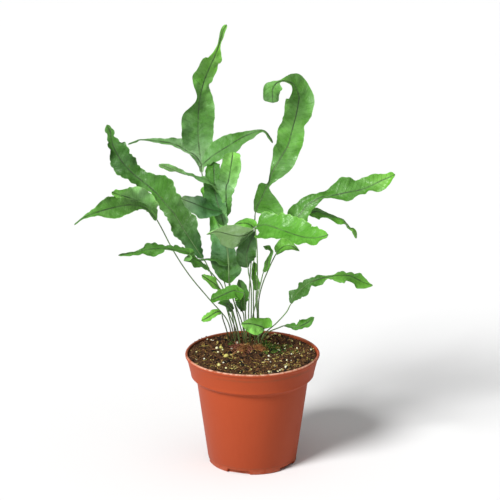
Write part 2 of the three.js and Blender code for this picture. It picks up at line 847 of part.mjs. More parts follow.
function makeSoil(holes) {
  const side = potInside.map(([radius, height]) => [radius - clearance, height + clearance]).reverse();
  side[side.length - 1] = [innerTop - 2 * clearance, soilEdgeHeight - soilEdgeRound];
  const top = [...soilRings, 0].map((radius) => [radius, potHeight]);
  const geometry = revolve([[0, floorThickness + clearance], ...side, ...top], potSides);
  const position = geometry.attributes.position;
  for (let i = 0; i < position.count; i++) {
    if (position.getZ(i) > soilEdgeHeight) {
      position.setZ(i, soilLevel(position.getX(i), position.getY(i)));
    }
  }
  const whole = solidOf(geometry).subtract(makeRhizome(troughClearance));
  return holes.reduce((solid, hole) => solid.subtract(hole), whole);
}

function piece(name, solid, color, roughness) {
  const material = new THREE.MeshStandardMaterial({ color, roughness, metalness: 0 });
  const mesh = new THREE.Mesh(geometryOf(solid), material);
  mesh.name = name;
  return mesh;
}

const fern = new THREE.Group();
fern.add(piece("pot", makePot(), 0xb5522f, 0.45));
fern.add(piece("soil", makeSoil(fronds.map(stemHole)), 0x3a2a1f, 0.95));
fern.add(piece("rhizome", makeRhizome(), 0x8a5a2e, 0.9));
for (const spec of fronds) {
  fern.add(piece(spec.name, frond(spec), spec.color, 0.55));
}

export default fern;
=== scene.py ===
import bisect
import math
import random

import bmesh
import bpy
from mathutils import Matrix, Vector, noise


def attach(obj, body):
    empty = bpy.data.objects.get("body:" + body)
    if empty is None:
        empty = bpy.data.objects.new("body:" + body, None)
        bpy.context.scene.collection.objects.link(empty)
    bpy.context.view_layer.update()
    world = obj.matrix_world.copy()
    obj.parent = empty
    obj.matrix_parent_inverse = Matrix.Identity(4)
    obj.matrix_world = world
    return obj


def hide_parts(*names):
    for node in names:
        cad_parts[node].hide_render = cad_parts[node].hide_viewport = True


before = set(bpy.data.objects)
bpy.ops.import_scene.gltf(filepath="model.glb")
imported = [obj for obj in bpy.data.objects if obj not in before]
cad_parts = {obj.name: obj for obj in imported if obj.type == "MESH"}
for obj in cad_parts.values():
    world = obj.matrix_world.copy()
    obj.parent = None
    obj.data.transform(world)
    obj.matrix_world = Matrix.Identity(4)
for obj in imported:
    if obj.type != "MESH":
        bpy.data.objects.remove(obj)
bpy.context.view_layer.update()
print("frame loaded:", len(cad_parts), "nodes")

fullTurn = 2 * math.pi
anyTurn = 6.28  # the most that a random turn may be


def placed(name, data):
    made = bpy.data.objects.new(name, data)
    bpy.context.scene.collection.objects.link(made)
    return made


# camera at the photo's angle: a long lens, a little above the plant
photoView = {"place": (-0.0019, -1.5, 0.632), "tilt": -16.85, "lens": 142.4, "sensor": 36, "far": 50}

cameraData = bpy.data.cameras.new("photoCamera")
cameraData.lens = photoView["lens"]
cameraData.sensor_width = photoView["sensor"]
cameraData.clip_end = photoView["far"]
camera = placed("photoCamera", cameraData)
camera.location = photoView["place"]
camera.rotation_euler = (math.radians(90 + photoView["tilt"]), 0, 0)
bpy.context.scene.camera = camera

studio = {
    "floor": {"Base Color": (0.8, 0.8, 0.8, 1), "Roughness": 0.9, "Specular IOR Level": 0.1},
    "floorSize": 30, "sky": {"Color": (1, 1, 1, 1), "Strength": 0.2},
    "suns": {
        "keyLight": {"from": (-0.64, -0.66, 0.76), "strength": 4.4, "spread": 22},
        "topLight": {"from": (0.2, -0.15, 1), "strength": 0.6, "spread": 60},
    },
}
bpy.context.scene.view_settings.view_transform = "Standard"
sky = bpy.data.worlds.new("studioSky")
sky.use_nodes = True
for socketName, value in studio["sky"].items():
    sky.node_tree.nodes["Background"].inputs[socketName].default_value = value
bpy.context.scene.world = sky
for lightName, setting in studio["suns"].items():
    sun = bpy.data.lights.new(lightName, "SUN")
    sun.energy = setting["strength"]
    sun.angle = math.radians(setting["spread"])
    lamp = placed(lightName, sun)
    lamp.rotation_euler = Vector(setting["from"]).to_track_quat("Z", "Y").to_euler()
print("camera and studio lights set")


def mathsNode(operation, reflected=False):
    def made(one, other):
        values = (other, one) if reflected else (one, other)
        return one.finish.node("Math", {"operation": operation}, dict(enumerate(values)))
    return made


class Reading:  # a socket's value, so that sums of readings become Math nodes
    def __init__(self, finish, socket):
        self.finish = finish
        self.socket = socket

    __add__, __radd__ = mathsNode("ADD"), mathsNode("ADD", True)
    __sub__, __rsub__ = mathsNode("SUBTRACT"), mathsNode("SUBTRACT", True)
    __mul__, __rmul__ = mathsNode("MULTIPLY"), mathsNode("MULTIPLY", True)

    def __abs__(self):
        return self.finish.node("Math", {"operation": "ABSOLUTE"}, {0: self})


class Finish:  # one procedural material and its nodes
    def __init__(self, name, constants):
        self.material = bpy.data.materials.new(name)
        self.material.use_nodes = True
        self.tree = self.material.node_tree
        self.shader = self.tree.nodes["Principled BSDF"]
        for socketName, value in constants.items():
            self.shader.inputs[socketName].default_value = value

    def node(self, kind, settings, values, output=0):
        made = self.tree.nodes.new("ShaderNode" + kind)
        for name, value in settings.items():
            if name == "stops":
                while len(made.color_ramp.elements) < len(value):
                    made.color_ramp.elements.new(1)
                for stop, (position, color) in zip(made.color_ramp.elements, value):
                    stop.position = position
                    stop.color = (*color, 1)
            else:
                setattr(made, name, value)
        for name, value in values.items():
            if isinstance(value, Reading):
                self.tree.links.new(value.socket, made.inputs[name])
            elif isinstance(value, tuple) and len(value) == 3 and made.inputs[name].type == "RGBA":
                made.inputs[name].default_value = (*value, 1)
            else:
                made.inputs[name].default_value = value
        return Reading(self, made.outputs[output])

    def place(self):
        return self.node("TexCoord", {}, {}, "Object")

    def axis(self, vector, letter):
        return self.node("SeparateXYZ", {}, {0: vector}, letter)

    def attribute(self, name, output="Fac"):
        return self.node("Attribute", {"attribute_name": name}, {}, output)

    def spots(self, where, scale, detail=3, roughness=0.55):
        values = {"Vector": where, "Scale": scale, "Detail": detail, "Roughness": roughness}
        return self.node("TexNoise", {}, values)

    def stretched(self, where, factors):
        return self.node("VectorMath", {"operation": "MULTIPLY"}, {0: where, 1: factors})

    def fade(self, reading, start, end):  # 0 before start and 1 after end, or the other way round
        low, high = (0, 1) if start < end else (1, 0)
        values = {0: reading, 1: min(start, end), 2: max(start, end), 3: low, 4: high}
        return self.node("MapRange", {"interpolation_type": "SMOOTHSTEP"}, values)

    def layered(self, color, *layers):  # each layer is its share, its tone and, if not MIX, its blend
        for share, tone, *blend in layers:
            settings = {"data_type": "RGBA", "blend_type": blend[0] if blend else "MIX"}
            color = self.node("Mix", settings, {0: share, 6: color, 7: tone}, 2)
        return color

    def wear(self, color, roughness, height, strength, distance=0.0004):
        bump = self.node("Bump", {}, {"Strength": strength, "Distance": distance, "Height": height})
        for socketName, reading in (("Base Color", color), ("Roughness", roughness), ("Normal", bump)):
            if reading is not None:
                self.tree.links.new(reading.socket, self.shader.inputs[socketName])
        return self.material


def rank(verts):  # for sorting: it differs from place to place, whatever order the vertices are in
    return math.fsum(vert.co.x + 0.37 * vert.co.y + 0.11 * vert.co.z for vert in verts)


def meshOf(name, bm, materials=()):  # what was modelled is put in the same order each run, then freed
    bm.verts.sort(key=lambda vert: rank([vert]))
    bm.edges.sort(key=lambda edge: rank(edge.verts))
    bm.faces.sort(key=lambda face: rank(face.verts))
    mesh = bpy.data.meshes.new(name)
    bm.to_mesh(mesh)
    bm.free()
    for material in materials:
        mesh.materials.append(material)
    return mesh


def toMetres(bm):  # everything but the floor is modelled in millimetres
    bmesh.ops.scale(bm, vec=(0.001, 0.001, 0.001), verts=bm.verts)


def finishPiece(name, bm, materials, slot, *stands):
    toMetres(bm)
    piece = placed(name, meshOf(name, bm, materials))
    if stands:
        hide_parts(*stands)
    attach(piece, "root")
    return piece


def facesOf(verts):  # every face that meets them, once
    return list(dict.fromkeys(face for vert in verts for face in vert.link_faces))


def grownFrom(bm, faces):  # the vertices and the faces that extruding these makes
    grown = bmesh.ops.extrude_face_region(bm, geom=faces)["geom"]
    return [[item for item in grown if isinstance(item, kind)]
            for kind in (bmesh.types.BMVert, bmesh.types.BMFace)]


def smoothFaces(faces):
    for face in faces:
        face.smooth = True


def profileOf(bm, points):  # half a cross-section, ready to be spun
    line = [bm.verts.new((radius, 0, height)) for radius, height in points]
    for one, other in zip(line, line[1:]):
        bm.edges.new((one, other))
    return line


def spinRound(bm, steps):
    bmesh.ops.spin(bm, geom=bm.verts[:] + bm.edges[:], cent=(0, 0, 0), axis=(0, 0, 1), angle=fullTurn,
                   steps=steps, use_merge=True)
    bmesh.ops.remove_doubles(bm, verts=bm.verts, dist=0.001)
    bmesh.ops.recalc_face_normals(bm, faces=bm.faces)


# floor
floorMesh = bmesh.new()
bmesh.ops.create_grid(floorMesh, x_segments=2, y_segments=2, size=studio["floorSize"])
floorFinish = Finish("paleFloor", studio["floor"])
paleFloor = placed("paleFloor", meshOf("paleFloor", floorMesh, [floorFinish.material]))

# terracotta-coloured nursery pot
potShape = {
    "outside": [
        (0, 0), (34.9, 0), (35.9, 1), (35.9, 4.6), (36.3, 5), (45, 70), (46, 71.6), (48, 72.3),
        (49.6, 74), (49.7, 75.8), (52.8, 88.9), (53.5, 89.4), (54, 90.2), (54, 91.2), (53.3, 92),
        (52.5, 92),
    ],
    "inside": [
        (51.8, 91.3), (51.8, 89.4), (48.6, 76.4), (47, 74.5), (44.6, 72.7), (44, 70.5), (34.9, 6),
        (33.9, 2.2), (0, 2.2),
    ],
    "rounding": 0.4, "roundedFrom": (34, 6.5), "steps": 160,
    "strays": [(0.22, 2, 0.7), (0.1, 5, 2)], "strayFrom": 8, "strayHeight": 84, "strayRadius": 50,
    "notches": 5, "notchTurn": -18.5, "notchSize": (19, 6.8, 6), "notchRounding": 1.2, "footRadius": 35.9,
    "clay": (0.365, 0.058, 0.017), "deep": (0.335, 0.049, 0.014), "pale": (0.78, 0.46, 0.33),
    # real dust on the lip top, also used as painted shade on the foot band and the inner wall
    "dustAndShade": (0.16, 0.06, 0.026),
    # where it is worn or dusty, and where highlight or shade is painted, in metres
    "lipTop": (0.0907, 0.0919), "lipInside": (0.0515, 0.0521), "wornFoot": (0.007, 0.0005),
    "highlightSide": (0.005, -0.04), "footBand": 0.0053, "bandWidth": (0.0006, 0.0001),
    "innerWall": (0.0523, 0.0517), "innerHeight": (0.084, 0.087),
}


def potFinish():
    finish = Finish("nurseryPlastic", {"Specular IOR Level": 0.14})
    where = finish.place()
    height = finish.axis(where, "Z")
    flat = finish.stretched(where, (1, 1, 0))
    outwards = finish.node("VectorMath", {"operation": "LENGTH"}, {0: flat}, "Value")
    clouds = finish.spots(where, 28, 4)
    streaks = finish.spots(finish.stretched(where, (1, 1, 0.12)), 420, 3)
    grain = finish.spots(where, 1900, 2)
    scuffs = finish.spots(where, 260, 5, 0.7)
    lipTop = finish.fade(height, *potShape["lipTop"]) * finish.fade(outwards, *potShape["lipInside"])
    foot = finish.fade(height, *potShape["wornFoot"])
    # painted highlight: pale on the front of the lip top only; the foot gets real pale scuffs
    front = 0.15 + 0.85 * finish.fade(finish.axis(where, "Y"), *potShape["highlightSide"])
    scuffsAndLipHighlight = finish.fade(scuffs, 0.36, 0.58) * (lipTop * front * 0.75 + foot * 0.12)
    # painted shade: a darker line along the step of the foot band
    bandShadeLine = finish.fade(abs(height - potShape["footBand"]), *potShape["bandWidth"])
    # dust and painted shade: the inner wall above the mix is darkened
    innerDustAndShade = finish.fade(outwards, *potShape["innerWall"]) * finish.fade(height, *potShape["innerHeight"])
    color = finish.layered(
        potShape["deep"],
        (finish.fade(clouds, 0.35, 0.7), potShape["clay"]),
        (0.7 + 0.3 * finish.fade(streaks, 0.3, 0.6), potShape["clay"]),
        (lipTop * finish.fade(clouds, 0.62, 0.4) * 0.55, potShape["dustAndShade"]),
        (scuffsAndLipHighlight, potShape["pale"]),
        (bandShadeLine * finish.fade(scuffs, 0.3, 0.55) * 0.4, potShape["dustAndShade"]),
        (innerDustAndShade * (0.35 + 0.6 * finish.fade(scuffs, 0.4, 0.62)), potShape["dustAndShade"]),
    )
    rough = 0.43 + 0.14 * clouds + 0.08 * scuffs
    return finish.wear(color, rough, streaks * 0.2 + grain * 0.25 + clouds * 0.6, 0.14)


def notchCutter(shape):
    cut = bmesh.new()
    for count in range(shape["notches"]):
        turn = math.radians(shape["notchTurn"] + 360 * count / shape["notches"])
        block = bmesh.ops.create_cube(cut, size=1)["verts"]
        edges = dict.fromkeys(edge for vert in block for edge in vert.link_edges)
        bmesh.ops.scale(cut, vec=shape["notchSize"], verts=block)
        upper = [edge for edge in edges if all(vert.co.z > 0 for vert in edge.verts)
                 and abs(edge.verts[0].co.x - edge.verts[1].co.x) < 0.1]
        rounded = bmesh.ops.bevel(cut, geom=upper, offset=shape["notchRounding"], segments=4, profile=0.5,
                                  affect="EDGES", material=-1)
        kept = [vert for vert in block if vert.is_valid]
        moved = list(dict.fromkeys(kept + rounded["verts"]))
        bmesh.ops.translate(cut, vec=(0, -shape["footRadius"], 0), verts=moved)
        bmesh.ops.rotate(cut, cent=(0, 0, 0), matrix=Matrix.Rotation(turn, 3, "Z"), verts=moved)
    toMetres(cut)
    return placed("notchCutter", meshOf("notchCutter", cut))


def potOf(shape, material):
    bm = bmesh.new()
    radius, height = shape["roundedFrom"]
    around = profileOf(bm, shape["outside"] + shape["inside"])
    corners = [vert for vert in around if vert.co.x > radius and vert.co.z > height]
    bmesh.ops.bevel(bm, geom=corners, offset=shape["rounding"], segments=2, profile=0.5, affect="VERTICES",
                    material=-1)
    spinRound(bm, shape["steps"])
    for vert in bm.verts:  # a moulded wall is never quite true
        turn = math.atan2(vert.co.y, vert.co.x)
        share = max(0, vert.co.z - shape["strayFrom"]) / shape["strayHeight"]
        stray = sum(size * math.sin(waves * turn + lag) for size, waves, lag in shape["strays"])
        vert.co.xy *= 1 + share * stray / shape["strayRadius"]
    smoothFaces(bm.faces)
    whole = finishPiece("nurseryPot", bm, [material], "pot", "pot")
    cutter = notchCutter(shape)
    notching = whole.modifiers.new("notches", "BOOLEAN")
    notching.operation = "DIFFERENCE"
    notching.solver = "EXACT"
    notching.object = cutter
    seen = whole.evaluated_get(bpy.context.evaluated_depsgraph_get())
    notched = bpy.data.meshes.new_from_object(seen)
    whole.modifiers.clear()
    whole.data = notched
    bpy.data.objects.remove(cutter)
    return whole


nurseryPot = potOf(potShape, potFinish())
print("pot made:", len(nurseryPot.data.polygons), "faces")


# potting mix, filled to just below the lip and mounded round the crown
mixShape = {
    "side": [
        (0, 2.55), (33.5, 2.55), (34.5, 6.3), (43.6, 70.8), (44.3, 73), (46.6, 74.9), (48.3, 76.8),
        (51.1, 87.5),
    ],
    "edgeHeight": 90.2, "edgeRadius": 51.4, "edgeEase": 3, "flat": 92, "steps": 230, "ringStep": 1.05,
    "crown": (-3, 24), "rise": 1.5, "spread": 20, "grain": 0.55, "roughness": 1.3,
    "peat": (0.014, 0.008, 0.005), "brown": (0.07, 0.032, 0.014), "tan": (0.24, 0.13, 0.045),
    # where shade is painted on the crumbs and chaff beside the crown
    "shadeSpots": [(-18, 14, 8, 15), (0, -4, 9, 10)], "seed": 11,
    "crumbs": 2300, "crumbSize": (0.3, 0.9), "bigCrumbSize": (0.9, 1.7), "smallShare": 0.87,
    "crumbTone": 0.82, "chaff": 230, "crumbReach": 50.4, "fibres": 420, "fibreReach": 47, "wallReach": 50.6,
    "rootlets": 80, "rootletCrown": (-7, 14), "perlite": 110, "perliteReach": 49,
    "lipCrumbs": [
        (-43.6, 29.7, 92.2, 0.8), (-41.5, 33.3, 92.2, 0.6), (-37.9, 36.9, 92.2, 0.7),
        (52.8, 5.1, 92.1, 0.8), (-46.9, 24.6, 92.2, 0.5), (30.8, 43, 92.2, 0.5), (12.8, 52.3, 92.2, 0.5),
    ],
    "perliteSpots": [
        (-21.1, -6.8, 2.4), (-25.4, 12.2, 1.9), (-28.6, 9.8, 1.4), (-26.4, -27.6, 1.8), (-27.5, 3, 1.1),
        (26.5, -32.2, 1.4), (18.8, 45, 1.6), (22.5, 41, 1.3), (13, 40, 1.4), (16, 43.5, 1),
    ],
    "moss": [
        (15, 15, 7.5, 260), (10, 21, 4.5, 110), (21, 5, 6, 130), (28, 17, 5, 60), (12, 2, 5, 70),
        (-18, 20, 3, 40), (33, 5, 4, 30),
    ],
    "crumbTones": [
        (0.05, (0.008, 0.006, 0.005)), (0.3, (0.05, 0.024, 0.012)), (0.5, (0.19, 0.085, 0.036)),
        (0.72, (0.25, 0.14, 0.045)), (0.85, (0.42, 0.34, 0.09)), (1, (0.6, 0.55, 0.2)),
    ],
    "fibreTones": [
        (0.1, (0.07, 0.028, 0.01)), (0.45, (0.2, 0.085, 0.03)), (0.75, (0.36, 0.2, 0.05)),
        (0.95, (0.5, 0.43, 0.1)),
    ],
    "rootletTones": [(0.1, (0.12, 0.035, 0.018)), (0.5, (0.28, 0.1, 0.055)), (0.95, (0.5, 0.23, 0.15))],
    "perliteTones": [(0.1, (0.55, 0.5, 0.14)), (0.45, (0.72, 0.68, 0.34)), (0.8, (0.84, 0.82, 0.66))],
    "mossTones": [(0.1, (0.02, 0.05, 0.008)), (0.5, (0.05, 0.13, 0.018)), (0.95, (0.14, 0.27, 0.04))],
}


def soilLevel(x, y):
    away = math.hypot(x - mixShape["crown"][0], y - mixShape["crown"][1]) / mixShape["spread"]
    ripple = math.sin(0.61 * x + 1.3) * math.cos(0.53 * y - 0.4) + 0.5 * math.sin(1.27 * y + 0.8 * x)
    return mixShape["edgeHeight"] + mixShape["rise"] * math.exp(-away * away) + mixShape["grain"] * ripple


def topOf(x, y):  # the mix's crumbly surface, which is calmer near the pot's wall
    lumps = [size * noise.noise(Vector((x * step, y * step, layer)))
             for size, step, layer in ((0.9, 0.23, 4), (0.75, 0.55, 9), (0.4, 1.3, 2))]
    edge = min(1, (mixShape["edgeRadius"] - math.hypot(x, y)) / mixShape["edgeEase"])
    return soilLevel(x, y) + edge * sum(lumps) * mixShape["roughness"]


def paintedShadeFactor(x, y):  # painted shade: crumbs and chaff are darker beside the crown
    away = [math.hypot((x - px) / wide, (y - py) / deep) ** 3 for px, py, wide, deep in mixShape["shadeSpots"]]
    return min(1, 0.2 + min(away))


def mixFinish():
    finish = Finish("pottingMix", {"Specular IOR Level": 0.15, "Roughness": 0.95})
    where = finish.place()
    lumps = finish.spots(where, 330, 6, 0.7)
    shreds = finish.spots(finish.stretched(where, (1, 0.35, 1)), 900, 4, 0.6)
    crossed = finish.spots(finish.stretched(where, (0.3, 1, 1)), 820, 4, 0.6)
    stops = [(0.3, mixShape["peat"]), (0.52, mixShape["brown"]), (0.75, mixShape["peat"])]
    color = finish.layered(
        finish.node("ValToRGB", {"stops": stops}, {0: lumps}),
        (finish.fade(shreds, 0.58, 0.7) * 0.55, mixShape["tan"]),
        (finish.fade(crossed, 0.6, 0.72) * 0.5, mixShape["tan"]),
    )
    return finish.wear(color, None, lumps + shreds * 0.6 + crossed * 0.5, 0.7, 0.0012)


def bitFinish(name, stops, grain=1500):  # crumbs, fibres and hairs, each with its own tone
    finish = Finish(name, {"Specular IOR Level": 0.2, "Roughness": 0.9})
    mottle = finish.spots(finish.place(), grain, 3, 0.6)
    tone = finish.attribute("tone") + mottle * 0.5 - 0.25
    return finish.wear(finish.node("ValToRGB", {"stops": stops}, {0: tone}), None, mottle, 0.5)


def tonedMesh():
    bm = bmesh.new()
    bm.verts.layers.float.new("tone")
    return bm


def markTone(bm, verts, tone):
    layer = bm.verts.layers.float["tone"]
    for vert in verts:
        vert[layer] = tone


def takeIn(bm, other):  # joins the other's shapes to bm
    scratch = meshOf("batch", other)
    bm.from_mesh(scratch)
    bpy.data.meshes.remove(scratch)


def inBatches(items, makeOne, size=30):  # a few small shapes at a time, which keeps it quick
    bm = tonedMesh()
    for start in range(0, len(items), size):
        batch = tonedMesh()
        for item in items[start:start + size]:
            makeOne(batch, item)
        takeIn(bm, batch)
    return bm


def somewhere(chance, reach):
    radius = reach * math.sqrt(chance.random())
    turn = chance.uniform(0, fullTurn)
    return radius * math.cos(turn), radius * math.sin(turn)


def mixOf(shape, material):
    bm = bmesh.new()
    profile = shape["side"] + [(shape["edgeRadius"], shape["edgeHeight"] - 0.4)]
    radius = shape["edgeRadius"] - 0.5
    while radius > 0.4:
        profile.append((radius, shape["flat"]))
        radius -= shape["ringStep"]
    profileOf(bm, profile + [(0, shape["flat"])])
    spinRound(bm, shape["steps"])
    for vert in bm.verts:
        if vert.co.z > shape["flat"] - 1:
            vert.co.z = topOf(vert.co.x, vert.co.y)
    smoothFaces(bm.faces)
    return finishPiece("pottingMix", bm, [material], "soil", "soil")


def lumpAt(bm, place, size, chance, rounds=1, jag=0.3):
    made = bmesh.ops.create_icosphere(bm, subdivisions=rounds, radius=1)["verts"]
    for vert in made:
        vert.co *= 1 + chance.uniform(-jag, jag)
    angle = chance.uniform(0, anyTurn)
    turn = Matrix.Rotation(angle, 4, Vector((chance.random(), chance.random(), 1)).normalized())
    matrix = Matrix.Translation(place) @ turn @ Matrix.Diagonal((*size, 1))
    bmesh.ops.transform(bm, matrix=matrix, verts=made)
    return made


def sweep(bm, places, radii, sides):  # a round stem through the places
    tangents = [(other - one).normalized() for one, other in zip(places, places[1:])]
    tangents.append(tangents[-1])
    turn = Vector((0, 0, 1)).rotation_difference(tangents[0])
    ring = bmesh.ops.create_circle(bm, cap_ends=True, segments=sides, radius=1)["verts"]
    cap = ring[0].link_faces[0]
    made = list(ring)
    before = Matrix.Identity(4)
    for step, (place, radius) in enumerate(zip(places, radii)):
        if step:
            turn = tangents[step - 1].rotation_difference(tangents[step]) @ turn
            ring, caps = grownFrom(bm, [cap])
            cap = caps[0]
            made.extend(ring)
        after = Matrix.Translation(place) @ turn.to_matrix().to_4x4()
        after @= Matrix.Diagonal((radius, radius, radius, 1))
        bmesh.ops.transform(bm, matrix=after @ before.inverted(), verts=ring)
        before = after
    faces = facesOf(made)
    bmesh.ops.recalc_face_normals(bm, faces=faces)
    for face in faces:
        face.smooth = len(face.verts) == 4
    return made


def crumbsOf(shape, material):
    chance = random.Random(shape["seed"])

    def crumb(bm, _):
        x, y = somewhere(chance, shape["crumbReach"])
        small = chance.random() < shape["smallShare"]
        big = chance.uniform(*shape["crumbSize" if small else "bigCrumbSize"])
        size = [big * chance.uniform(*ends) for ends in ((0.7, 1.3), (0.6, 1), (0.4, 0.8))]
        made = lumpAt(bm, (x, y, topOf(x, y) + big * 0.15), size, chance)
        markTone(bm, made, shape["crumbTone"] * chance.random() ** 2 * paintedShadeFactor(x, y))

    def chaff(bm, _):
        x, y = somewhere(chance, shape["crumbReach"])
        if x - y < chance.uniform(-60, 40):  # more of it lies in front and on the right
            x, y = -x, -y
        big = 0.2 + 0.6 * chance.random() ** 1.7
        size = (big * chance.uniform(1, 2.4), big, big * 0.6)
        made = lumpAt(bm, (x, y, topOf(x, y) + 0.5), size, chance)
        markTone(bm, made, chance.uniform(0.75, 1.1) * paintedShadeFactor(x, y))

    bm = inBatches(range(shape["crumbs"]), crumb)
    takeIn(bm, inBatches(range(shape["chaff"]), chaff))
    for x, y, z, big in shape["lipCrumbs"]:
        markTone(bm, lumpAt(bm, (x, y, z), (big, big * 0.8, big * 0.5), chance), 0.35)
    return finishPiece("soilCrumbs", bm, [material], "soil")


def strandAt(bm, foot, turn, bend, steps, radii, tone):  # steps: share, distance from the foot, lift
    places = []
    for share, far, lift in steps:
        angle = turn + bend * share
        x, y = foot[0] + far * math.cos(angle), foot[1] + far * math.sin(angle)
        inside = min(1, mixShape["wallReach"] / math.hypot(x, y))
        x, y = x * inside, y * inside
        places.append(Vector((x, y, topOf(x, y) + lift)))
    markTone(bm, sweep(bm, places, radii, 4), tone)


def fibresOf(shape, material):
    chance = random.Random(shape["seed"] + 1)

    def fibre(bm, _):
        foot = somewhere(chance, shape["fibreReach"])
        turn, long = chance.uniform(0, fullTurn), chance.uniform(2.2, 7)
        bend, arch = chance.uniform(-0.9, 0.9), chance.uniform(0.1, 0.9)
        steps = [(share, long * share, arch * (1 - 4 * share * share) + 0.15)
                 for share in (-0.5, -0.25, 0, 0.25, 0.5)]
        thick = chance.uniform(0.08, 0.24)
        radii = [thick * part for part in (0.5, 1, 1.1, 1, 0.4)]
        strandAt(bm, foot, turn, bend, steps, radii, chance.random())

    return finishPiece("soilFibres", inBatches(range(shape["fibres"]), fibre), [material], "soil")


def rootletsOf(shape, material):  # old roots that hang over the mix from the crown like a mop
    chance = random.Random(shape["seed"] + 4)

    def rootlet(bm, _):
        turn = math.radians(chance.gauss(-110, 38))
        start, long = chance.uniform(0, 6), chance.uniform(4, 13)
        bend, arch = chance.uniform(-0.8, 0.8), chance.uniform(0.3, 2.2)
        steps = []
        for share in (0, 0.2, 0.4, 0.6, 0.8, 1):
            lift = 0.25 + arch * 4 * share * (1 - share) + 1.6 * (1 - share) ** 3
            steps.append((share, start + long * share, lift))
        thick = chance.uniform(0.12, 0.3)
        radii = [thick * (1.2 - 0.14 * step) for step in range(6)]
        strandAt(bm, shape["rootletCrown"], turn, bend, steps, radii, chance.random())

    return finishPiece("crownRootlets", inBatches(range(shape["rootlets"]), rootlet), [material], "soil")


def perliteOf(shape, material):
    chance = random.Random(shape["seed"] + 2)
    spots = list(shape["perliteSpots"])
    while len(spots) < shape["perlite"]:
        spots.append((*somewhere(chance, shape["perliteReach"]), 0.35 + 0.8 * chance.random() ** 2))

    def grain(bm, spot):
        x, y, big = spot
        size = [big * chance.uniform(*ends) for ends in ((0.8, 1.15), (0.7, 1), (0.6, 0.85))]
        made = lumpAt(bm, (x, y, topOf(x, y) + big * 0.45), size, chance, 2, 0.12)
        markTone(bm, made, chance.random())

    bm = inBatches(spots, grain)
    smoothFaces(bm.faces)
    return finishPiece("perliteGrains", bm, [material], "soil")


def spikeAt(bm, matrix, sides, radius, top, tall, tone):
    made = bmesh.ops.create_cone(bm, cap_ends=True, segments=sides, radius1=radius, radius2=top, depth=tall,
                                 matrix=matrix)["verts"]
    markTone(bm, made, tone)


def mossOf(shape, material):
    chance = random.Random(shape["seed"] + 3)
    stands = []
    for x, y, reach, count in shape["moss"]:
        for _ in range(count):
            far, turn = reach * chance.random() ** 0.6, chance.uniform(0, anyTurn)
            stands.append((x + far * math.cos(turn), y + far * math.sin(turn)))

    def tuft(bm, stand):
        x, y = stand
        tall = chance.uniform(0.9, 2.1)
        lean = Matrix.Rotation(chance.uniform(-0.8, 0.8), 4, "X")
        lean @= Matrix.Rotation(chance.uniform(-0.8, 0.8), 4, "Y")
        matrix = Matrix.Translation((x, y, topOf(x, y))) @ lean @ Matrix.Translation((0, 0, tall * 0.4))
        spikeAt(bm, matrix, 4, chance.uniform(0.22, 0.42), 0.03, tall, chance.random())

    return finishPiece("mossTufts", inBatches(stands, tuft), [material], "soil")


mixOf(mixShape, mixFinish())
crumbsOf(mixShape, bitFinish("soilCrumbs", mixShape["crumbTones"]))
fibresOf(mixShape, bitFinish("peatFibres", mixShape["fibreTones"], 700))
rootletsOf(mixShape, bitFinish("crownRootlets", mixShape["rootletTones"], 500))
perliteOf(mixShape, bitFinish("perlite", mixShape["perliteTones"], 900))
mossOf(mixShape, bitFinish("moss", mixShape["mossTones"], 900))
print("potting mix made, with crumbs, fibres, rootlets, perlite and moss")


class SmoothPath:  # the smooth curve that the frame's source draws through the same points
    parts = 200
    nudge = 0.0001

    def __init__(self, points):
        self.points = [Vector(point) for point in points]
        places = [self.at(step / self.parts) for step in range(self.parts + 1)]
        self.lengths = [0]
        for one, other in zip(places, places[1:]):
            self.lengths.append(self.lengths[-1] + (other - one).length)

    def at(self, share):
        last = len(self.points) - 1
        step = min(int(share * last), last - 1)
        part = share * last - step
        one, two = self.points[step], self.points[step + 1]
        before = self.points[step - 1] if step else one * 2 - two
        after = self.points[step + 2] if step + 2 <= last else two * 2 - one
        leaving, arriving = (two - before) * 0.5, (after - one) * 0.5
        bow = (two - one) * 3 - leaving * 2 - arriving
        twist = (one - two) * 2 + leaving + arriving
        return one + leaving * part + bow * part ** 2 + twist * part ** 3

    def share(self, travelled):  # where on the curve that part of its length is past
        target = travelled * self.lengths[-1]
        step = min(bisect.bisect_right(self.lengths, target), self.parts) - 1
        span = self.lengths[step + 1] - self.lengths[step]
        return (step + (target - self.lengths[step]) / span) / self.parts

    def along(self, travelled):
        return self.at(self.share(travelled))

    def heading(self, travelled):
        share = self.share(travelled)
        return (self.at(min(1, share + self.nudge)) - self.at(max(0, share - self.nudge))).normalized()


# creeping rhizome with its coat of golden hairs
rhizomeShape = {
    "arms": [
        {"radius": 3.3, "path": [(-9, 2, 90.6), (-7.5, 6.5, 91.6), (-5, 11, 90.6), (-1.5, 14, 86.5)]},
        {"radius": 2.6, "path": [(8.5, 7, 91.2), (6, 9.5, 91.6), (2.5, 12, 90), (-2, 14, 86.5)]},
    ],
    "tip": [(0.92, 0.3), (0.75, 0.62), (0.4, 0.9)], "steps": 12, "sides": 18, "swelling": 0.07,
    "rough": 0.3, "seed": 3, "hairs": 1900, "crownHairs": 16, "hairLength": (0.9, 2.6),
    "hairThickness": 0.13,
    "bark": (0.07, 0.03, 0.012), "rust": (0.26, 0.1, 0.03),
    "hairTones": [(0.1, (0.1, 0.04, 0.012)), (0.5, (0.3, 0.13, 0.035)), (0.95, (0.6, 0.36, 0.13))],
}


def rhizomeFinish():
    finish = Finish("rhizomeBark", {"Roughness": 0.85, "Specular IOR Level": 0.25})
    flecks = finish.spots(finish.place(), 620, 4, 0.65)
    color = finish.layered(rhizomeShape["bark"], (finish.fade(flecks, 0.38, 0.62), rhizomeShape["rust"]))
    return finish.wear(color, None, flecks, 0.6, 0.0006)


